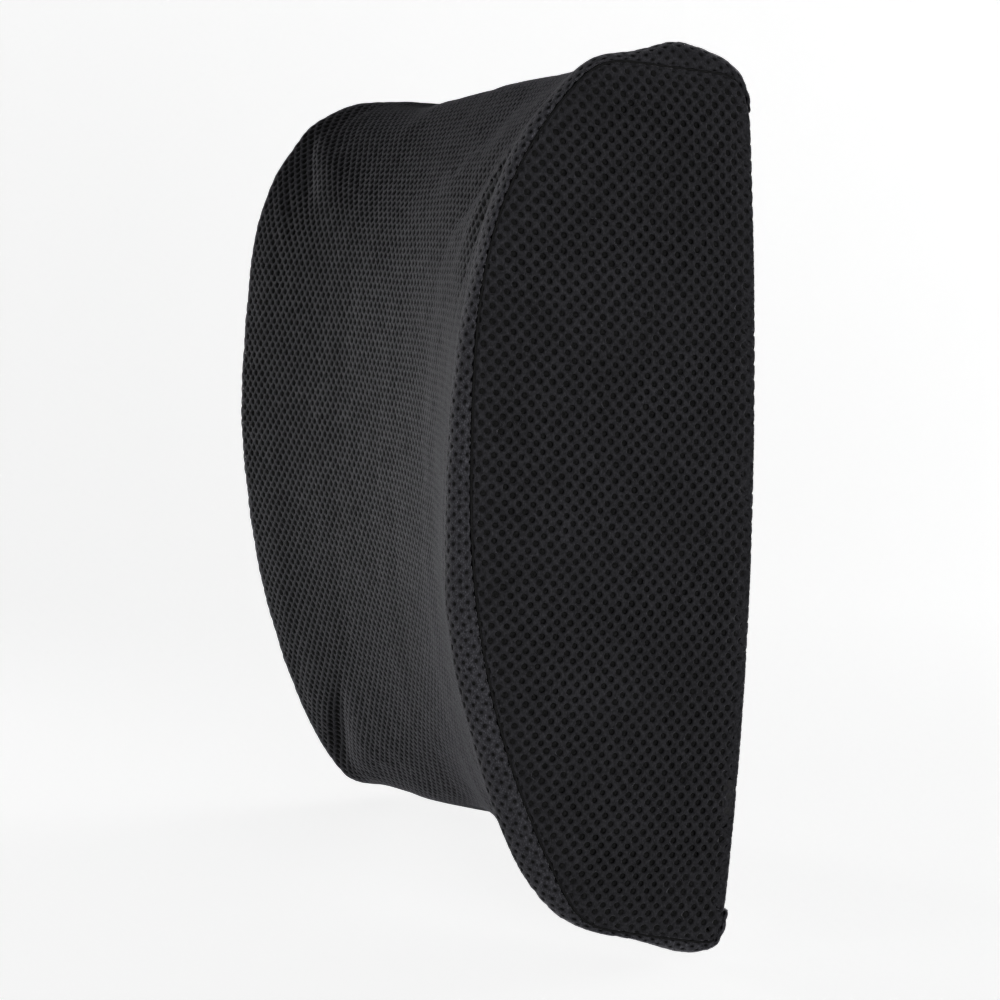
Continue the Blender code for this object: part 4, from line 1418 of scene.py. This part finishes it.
def zip_stop(word, sign):
    x0, x1 = sorted((sign * 0.1448, sign * 0.1480))
    base = slab(
        rectangle(x0, x1, -0.0026, 0.0026, 0.0008), BACK_Y - 0.0030, BACK_Y - 0.0009, 0.0004, height=ZIP_Z
    )
    groove = rectangle(x0 - 0.001, x1 + 0.001, -0.00025, 0.00025, 0.0)
    groove = slab(groove, BACK_Y - 0.0012, BACK_Y, height=ZIP_Z)
    stop = carved(f"stop_{word}", base, cut=[groove])
    finished(stop, METAL, [f"zip_stop_{word}"])


def zip_lines(half, y, offset):
    """A line of stitching on each side of the zip."""
    return [[(-half, y, ZIP_Z + dz), (half, y, ZIP_Z + dz)] for dz in (offset, -offset)]


zip_half("upper", 1)
zip_half("lower", -1)
zip_end("left", -1)
zip_end("right", 1)
coil_lines = zip_lines(half=0.1530, y=TAPE_Y + 0.00012, offset=0.0031)
coil_stitches = stitches("coil_stitches", coil_lines, pitch=0.0021, length=0.0017, radius=0.00016)
finished(coil_stitches, THREAD)
zip_stop("left", -1)
zip_stop("right", 1)

SLIDER_X = 0.138
PIN_Y = BACK_Y + 0.0016
PLATE_LOW, PLATE_TOP = BACK_Y - 0.0009, BACK_Y + 0.0003
# (x from the slider's middle, z from the zip): the plate's upper half, and one flange
SHIELD = [(-0.0055, 0.0026), (-0.0020, 0.0030), (0.0018, 0.0042), (0.0044, 0.0041), (0.0055, 0.0028)]
FLANGE = [
    (-0.0046, 0.0026), (0.0010, 0.0027), (0.0044, 0.0030),
    (0.0044, 0.0036), (0.0012, 0.0036), (-0.0046, 0.0031),
]
# (x from the slider's middle, depth): the arch that holds the pull, and the eye through it
ARCH = [
    (-0.0047, PLATE_TOP - 0.0003), (-0.0042, PIN_Y + 0.0012), (-0.0026, PIN_Y + 0.0019),
    (0.0030, PIN_Y + 0.0019), (0.0046, PIN_Y + 0.0008), (0.0047, PLATE_TOP - 0.0003),
]
EYE = [
    (-0.0036, PLATE_TOP - 0.0001), (-0.0034, PIN_Y + 0.0006), (-0.0020, PIN_Y + 0.0010),
    (0.0024, PIN_Y + 0.0010), (0.0036, PIN_Y), (0.0036, PLATE_TOP - 0.0001),
]
# the pull's upper half, (x from the slider's middle, z from the zip)
PULL = [
    (-0.0240, 0.0026), (-0.0215, 0.0034), (-0.0130, 0.0032),
    (-0.0085, 0.0026), (-0.0040, 0.0032), (0.00062, 0.0026),
]


def zip_slider():
    joined = []
    for sign in (1, -1):
        wall = rounded([(x + SLIDER_X, sign * z) for x, z in FLANGE], 0.0003, steps=4)
        joined.append(slab(wall, TAPE_Y + 0.0003, PLATE_LOW + 0.0005, height=ZIP_Z))
    arch = rounded(moved_x(ARCH, SLIDER_X), 0.0008)
    joined.append(slab(arch, -0.0010, 0.0010, 0.0003, segments=2, upright=True, height=ZIP_Z))
    eye = rounded(moved_x(EYE, SLIDER_X), 0.0004, steps=4)
    plate = rounded(moved_x(mirrored(SHIELD), SLIDER_X), 0.0010)
    slider = carved(
        "slider_body",
        slab(plate, PLATE_LOW, PLATE_TOP, 0.0003, height=ZIP_Z),
        joined=joined,
        cut=[slab(eye, -0.0016, 0.0016, upright=True, height=ZIP_Z)],
    )
    finished(slider, METAL, ["zip_slider"], "slider")


def zip_pull():
    half = 0.00063  # half its thickness
    tab = rounded(moved_x(mirrored(PULL), SLIDER_X), 0.0016, steps=6)
    openings = [
        rectangle(SLIDER_X - 0.0068, SLIDER_X - 0.00068, -0.0018, 0.0018, 0.0010),
        rectangle(SLIDER_X - 0.0205, SLIDER_X - 0.0135, -0.0012, 0.0012, 0.0012, steps=6),
    ]
    pull = carved(
        "pull_tab",
        slab(tab, PIN_Y - half, PIN_Y + half, 0.00028, height=ZIP_Z),
        cut=[slab(opening, PIN_Y - 0.003, PIN_Y + 0.003, height=ZIP_Z) for opening in openings],
    )
    finished(pull, METAL, ["zip_pull"], "pull")


zip_slider()
zip_pull()
# topstitching that holds the tapes under the folded edges of the back panels
top_lines = zip_lines(half=0.1545, y=BACK_Y + 0.00010, offset=0.0098)
topstitch = stitches("zip_topstitch", top_lines, pitch=0.0030, length=0.0024, radius=0.00024)
finished(topstitch, THREAD)

# ---- strap -----------------------------------------------------------------------------------
RUN_RISE, BAR_RISE, RETURN_RISE = 0.0021, 0.0059, 0.0034  # the webbing's levels above the back
LAID, RUN, RETURN = BACK_Y + 0.0008, BACK_Y + RUN_RISE, BACK_Y + RETURN_RISE
BAR_TOP = BACK_Y + BAR_RISE
BAR_X, LOOP = 0.0330, (BAR_RISE - RUN_RISE) / 2  # the turns round the buckle's bars
WEB_HALF_THICKNESS = 0.00044
TACK_HALF = 0.0105


def bend_round(x0, y0, radius, start, end):
    angles = [math.radians(angle) for angle in np.linspace(start, end, 10)]
    return [(x0 + radius * math.cos(a), y0 + radius * math.sin(a)) for a in angles]


def webbing(path):
    return woven_band(path, -STRAP_HALF, STRAP_HALF, WEB_HALF_THICKNESS, rib_relief)


def flexing(obj, stands_for=()):
    """A strap piece between the cushion and a moving part: it gets its material, hides the CAD parts it
    stands for, and is left without a body, its transform baked into its points.
    """
    finished(obj, WEBBING if "tack" not in obj.name else THREAD, stands_for, body=None)
    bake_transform(obj)


# (x, depth) from the sewn end towards the buckle
run_in = [(0.1500, LAID), (0.1280, LAID), (0.1245, (LAID + RUN) / 2), (0.1210, RUN)]
left_path = [(-x, y) for x, y in run_in]
left_path += bend_round(-BAR_X, RUN + LOOP, LOOP, -90, 90)
left_path += [(-0.045, BAR_TOP + 0.0002), (-0.060, BACK_Y + 0.0064)]
left_path += bend_round(-0.0862, BACK_Y + 0.0049, 0.0015, 90, 270)
left_path += [(-0.073, RETURN)]
right_path = run_in + bend_round(BAR_X, RUN + LOOP, LOOP, 270, 90)
right_path += [(0.042, BAR_TOP), (0.052, BACK_Y + 0.0035), (0.078, RETURN)]

left_rows = webbing(left_path)
returning = np.arange(len(left_rows)) > len(left_rows) * 0.5
split = int(np.argmax((left_rows[:, 0, 0] < -0.0452) & returning))
left_run = capped(left_rows[: split + 1], last=False)
grid_piece("webbing_left", left_run, WEBBING, ["strap_left"])
left_return = sheet("webbing_left_return", capped(left_rows[split:], first=False))
flexing(left_return)
webbing_right = sheet("webbing_right", capped(webbing(right_path)), True)
flexing(webbing_right, ["strap_right"])
tack = crossed_box(0.0580, 0.0740, TACK_HALF, RETURN + 0.00056)
tack = stitches("webbing_right_tack", tack, pitch=0.0022, length=0.0018, radius=0.00020)
flexing(tack)


def anchor(word, sign):
    """A reinforcing patch over the strap's sewn end, lying down to the back beyond the webbing."""
    first, last, half = 0.1288, 0.1504, 0.0166  # the patch
    tack_first, tack_last = 0.1310, 0.1482  # the box of stitches
    x, z = np.meshgrid(np.linspace(first, last, 45), np.linspace(-half, half, 69))
    edge = np.minimum(np.minimum(x - first, last - x), np.minimum(z + half, half - z))
    over = 1 - smoothstep(np.abs(z), 0.0118, 0.0150)
    ramp = 1 - smoothstep(x, 0.1494, last) * 0.5
    top = 0.00105 + 0.00130 * over * ramp
    box = np.minimum(np.abs(x - tack_first), np.abs(x - tack_last))
    box = np.minimum(np.abs(np.abs(z) - TACK_HALF), box)
    share_x = (x - (tack_first + tack_last) / 2) / ((tack_last - tack_first) / 2)
    diagonal = np.abs(np.abs(share_x) - np.abs(z / TACK_HALF)) * 0.006
    sunk = bell(np.minimum(box, diagonal), 0, 0.0009)
    round_edge = np.clip(edge / 0.0007, 0, 1)
    y = BACK_Y + 0.0002 + (top - 0.0002) * np.sqrt(1 - (1 - round_edge) ** 2)
    y -= 0.00022 * sunk * (round_edge > 0.9)
    weave = np.cos(2 * math.pi * x / 0.0011) * np.cos(2 * math.pi * z / 0.0011)
    y += 0.00005 * weave * round_edge
    rows = np.stack([sign * x, y, z], -1) + SHIFT
    cad_names = [f"strap_anchor_{word}"]
    grid_piece(f"anchor_{word}", rows, TAPE_CLOTH, cad_names, flip=sign > 0)
    lines = crossed_box(sign * tack_first, sign * tack_last, TACK_HALF, BACK_Y + 0.00222)
    name = f"anchor_{word}_stitches"
    finished(stitches(name, lines, pitch=0.0021, length=0.0017, radius=0.00020), THREAD)


anchor("left", -1)
anchor("right", 1)

# ---- buckle and adjuster ---------------------------------------------------------------------
LOW, HIGH = BACK_Y + 0.0003, BACK_Y + 0.0083
ADJUSTER_X = -0.085
# upper halves of the socket and the plug's body, (x, z)
SOCKET = [
    (-0.0360, 0.0150), (-0.0330, 0.0168), (-0.0190, 0.0168), (-0.0150, 0.0152),
    (-0.0050, 0.0152), (-0.0016, 0.0168), (0.0040, 0.0164),
]
PLUG = [(0.0052, 0.0164), (0.0100, 0.0168), (0.0330, 0.0168), (0.0360, 0.0150)]
# one sprung arm of the plug, with its catch, (x, z)
ARM = [
    (0.0100, 0.0066), (0.0100, 0.0124), (0.0040, 0.0119), (-0.0030, 0.0117), (-0.0052, 0.0128),
    (-0.0138, 0.0127), (-0.0182, 0.0106), (-0.0185, 0.0090), (-0.0140, 0.0086),
    (-0.0050, 0.0088), (0.0030, 0.0084),
]


def strap_slot(x0, x1):
    return slab(rectangle(x0, x1, -0.0137, 0.0137, 0.0020), LOW - 0.01, HIGH + 0.01)


def strap_bar(x):
    outline = ellipse(x, BACK_Y + 0.0040, 0.00125, 0.00108, points=20)
    return slab(outline, -0.0150, 0.0150, upright=True)


def dish(outline):
    """A shallow hollow in the buckle's outer face."""
    return slab(outline, HIGH - 0.0004, HIGH + 0.002, 0.0003, segments=2)


def buckle_socket():
    cavity = rectangle(-0.0220, 0.0100, -0.0132, 0.0132, 0.0010)
    windows = rectangle(-0.0150, -0.0040, -0.0300, 0.0300, 0.0012)
    hollow = [(-0.0185, -0.0100), (0.0010, -0.0118), (0.0010, 0.0118), (-0.0185, 0.0100)]
    mouth = rectangle(-0.0010, 0.0100, -0.0060, 0.0060, 0.0030, steps=6)
    socket = carved(
        "buckle_socket",
        slab(rounded(mirrored(SOCKET), 0.0028, steps=7), LOW, HIGH, 0.0014, segments=4),
        cut=[
            strap_slot(-0.0420, -0.0255),
            slab(cavity, LOW + 0.0016, HIGH - 0.0016, 0.0006, segments=2),
            slab(windows, LOW + 0.0018, HIGH - 0.0018, 0.0008),
            dish(rounded(hollow, 0.0030, steps=6)),
            slab(mouth, HIGH - 0.0030, HIGH + 0.002),
        ],
        joined_after=[strap_bar(-0.03475)],
    )
    finished(socket, BUCKLE, ["buckle_female"])


def buckle_plug():
    low, high = LOW + 0.0021, HIGH - 0.0021  # the parts that go into the socket
    tongue = [(-0.0200, -0.0012), (0.0100, -0.0020), (0.0100, 0.0020), (-0.0200, 0.0012)]
    tongue = slab(rounded(tongue, 0.0009), low, high, 0.0004, segments=2)
    arms = [
        slab(rounded([(x, sign * z) for x, z in ARM], 0.0010), low, high, 0.0005)
        for sign in (1, -1)
    ]
    plug = carved(
        "buckle_plug",
        slab(rounded(mirrored(PLUG), 0.0026, steps=7), LOW, HIGH, 0.0014, segments=4),
        cut=[
            strap_slot(0.0240, 0.0420),
            dish(rectangle(0.0085, 0.0215, -0.0110, 0.0110, 0.0030, steps=6)),
        ],
        joined_after=[strap_bar(0.03475), tongue] + arms,
    )
    finished(plug, BUCKLE, ["buckle_male"], "buckle_tongue")


def strap_adjuster():
    x0, x1 = ADJUSTER_X - 0.0115, ADJUSTER_X + 0.0115
    rails = [
        slab(rectangle(x0, x1, s * 0.0133, s * 0.0164, 0.0015), LOW, BACK_Y + 0.0056, 0.0008)
        for s in (1, -1)
    ]
    ends = []
    for x in (ADJUSTER_X - 0.01005, ADJUSTER_X + 0.01005):
        outline = rectangle(x - 0.00115, x + 0.00115, -0.0150, 0.0150, 0.0)
        ends.append(slab(outline, LOW + 0.0001, BACK_Y + 0.0013, 0.0003, segments=2))
    middle = ellipse(ADJUSTER_X, BACK_Y + 0.0048, 0.0014, 0.0006, points=18)
    middle = slab(middle, -0.0148, 0.0148, upright=True)
    adjuster = carved("adjuster_frame", rails[0], joined=[rails[1]] + ends + [middle])
    finished(adjuster, BUCKLE, ["strap_adjuster"], "adjuster")


buckle_socket()
buckle_plug()
strap_adjuster()


# ---- floor, light, camera --------------------------------------------------------------------
def stage():
    """A pale sweep: a flat floor that curls up behind the object, seen from the camera's side."""
    nodes = material_nodes("pale_floor")
    speck = nodes.noise(scale=60, detail=3)
    seen = nodes.node("ShaderNodeLightPath").outputs["Is Camera Ray"]
    nodes.set({
        "Base Color": nodes.mix(nodes.remap(speck, low=0.3, high=0.7), grey(0.69), grey(0.71)),
        "Roughness": 0.9,
        "Specular IOR Level": 0.1,
        "Emission Color": (1, 1, 1),
        "Emission Strength": nodes.product(seen, 0.80),
    })
    bottom = min(CAD_BOX[0][2], float((WRAP[..., 2] + SHIFT_Z).min())) - 0.0006
    curl_start, curl_radius = 0.9, 1.2
    profile = [(-3.0, 0.0), (curl_start, 0.0)]  # (distance away, height)
    for angle in np.linspace(0, math.pi / 2, 24)[1:]:
        away = curl_start + curl_radius * math.sin(angle)
        profile.append((away, curl_radius * (1 - math.cos(angle))))
    profile.append((curl_start + curl_radius, 4.0))
    azimuth = math.radians(71.36)
    backward = np.array([-math.sin(azimuth), math.cos(azimuth), 0.0])
    sideways = np.array([math.cos(azimuth), math.sin(azimuth), 0.0])
    rows = [
        [
            backward * away + sideways * across + np.array([0, 0, bottom + height])
            for across in np.linspace(-4, 4, 9)
        ]
        for away, height in profile
    ]
    floor = sheet("floor", np.array(rows))
    floor.data.materials.append(nodes.owner)


def camera():
    azimuth, elevation, roll = (math.radians(angle) for angle in (71.3587, 5.2513, 1.152))
    distance = 1.1657
    target = Vector((0.0056, -0.0357 + SHIFT_Y, -0.0083 + SHIFT_Z))
    flat = math.cos(elevation)
    back = Vector((math.sin(azimuth) * flat, -math.cos(azimuth) * flat, math.sin(elevation)))
    level = (-back).cross(Vector((0, 0, 1))).normalized()
    upright = level.cross(-back)
    right = level * math.cos(roll) + upright * math.sin(roll)
    up = -level * math.sin(roll) + upright * math.cos(roll)
    data = bpy.data.cameras.new("camera")
    data.lens, data.sensor_width = 100.8, 36
    data.clip_start, data.clip_end = 0.05, 20
    obj = linked("camera", data)
    matrix = np.eye(4)
    matrix[:3] = np.array([list(axis) for axis in (right, up, back, target + back * distance)]).T
    obj.matrix_world = Matrix(matrix.tolist())
    bpy.context.scene.camera = obj


def area_light(name, location, target, size, power, grid=None):
    """A soft box; grid is the half angle, in degrees, that a grid on its front narrows it to."""
    light = bpy.data.lights.new(name, "AREA")
    if grid:
        angle = math.radians(grid)
        light.spread = 2 * angle
        # so that the middle of the beam is as bright as without a grid
        power *= 1 - angle / math.tan(angle)
    light.shape = "RECTANGLE"
    light.size, light.size_y = size
    light.energy = power
    obj = linked(name, light)
    obj.location = location
    way = Vector(target) - Vector(location)
    obj.rotation_euler = way.to_track_quat("-Z", "Y").to_euler()
    obj.visible_camera = False


def studio():
    """Soft boxes round the cushion, and a weak surround that only the camera sees as white."""
    area_light("key", location=(-1.75, -0.95, 0.18), target=(0.10, -0.02, 0.08),
               size=(0.4, 0.30), power=25.5, grid=15)
    area_light("low", location=(-0.62, -0.82, 0.045), target=(0.08, -0.05, 0.08),
               size=(0.7, 0.07), power=3.3, grid=25)
    area_light("front", location=(0.55, -1.90, 0.18), target=(0.10, 0, 0.08),
               size=(0.8, 0.30), power=8.9, grid=15)
    area_light("side", location=(1.90, 0.06, 0.165), target=(0, 0, 0.13),
               size=(0.9, 0.29), power=15)
    area_light("back_fill", location=(-0.7, 1.9, 0.155), target=(0, 0.05, 0.15),
               size=(1.2, 0.27), power=34)
    world = bpy.data.worlds.new("studio")
    bpy.context.scene.world = world
    nodes = Nodes(world, "Background")
    seen = nodes.node("ShaderNodeLightPath").outputs["Is Camera Ray"]
    # the surround is darker above than below, as under a low soft box
    split = nodes.node("ShaderNodeSeparateXYZ", {0: nodes.coordinates["Generated"]})
    dim = nodes.remap(split.outputs["Z"], low=-0.2, high=0.7, to=(0.16, 0.05))
    nodes.set({"Color": nodes.mix(seen, dim, (1.0, 1.0, 1.0))})
    bpy.context.scene.view_settings.view_transform = "Standard"


stage()
camera()
studio()
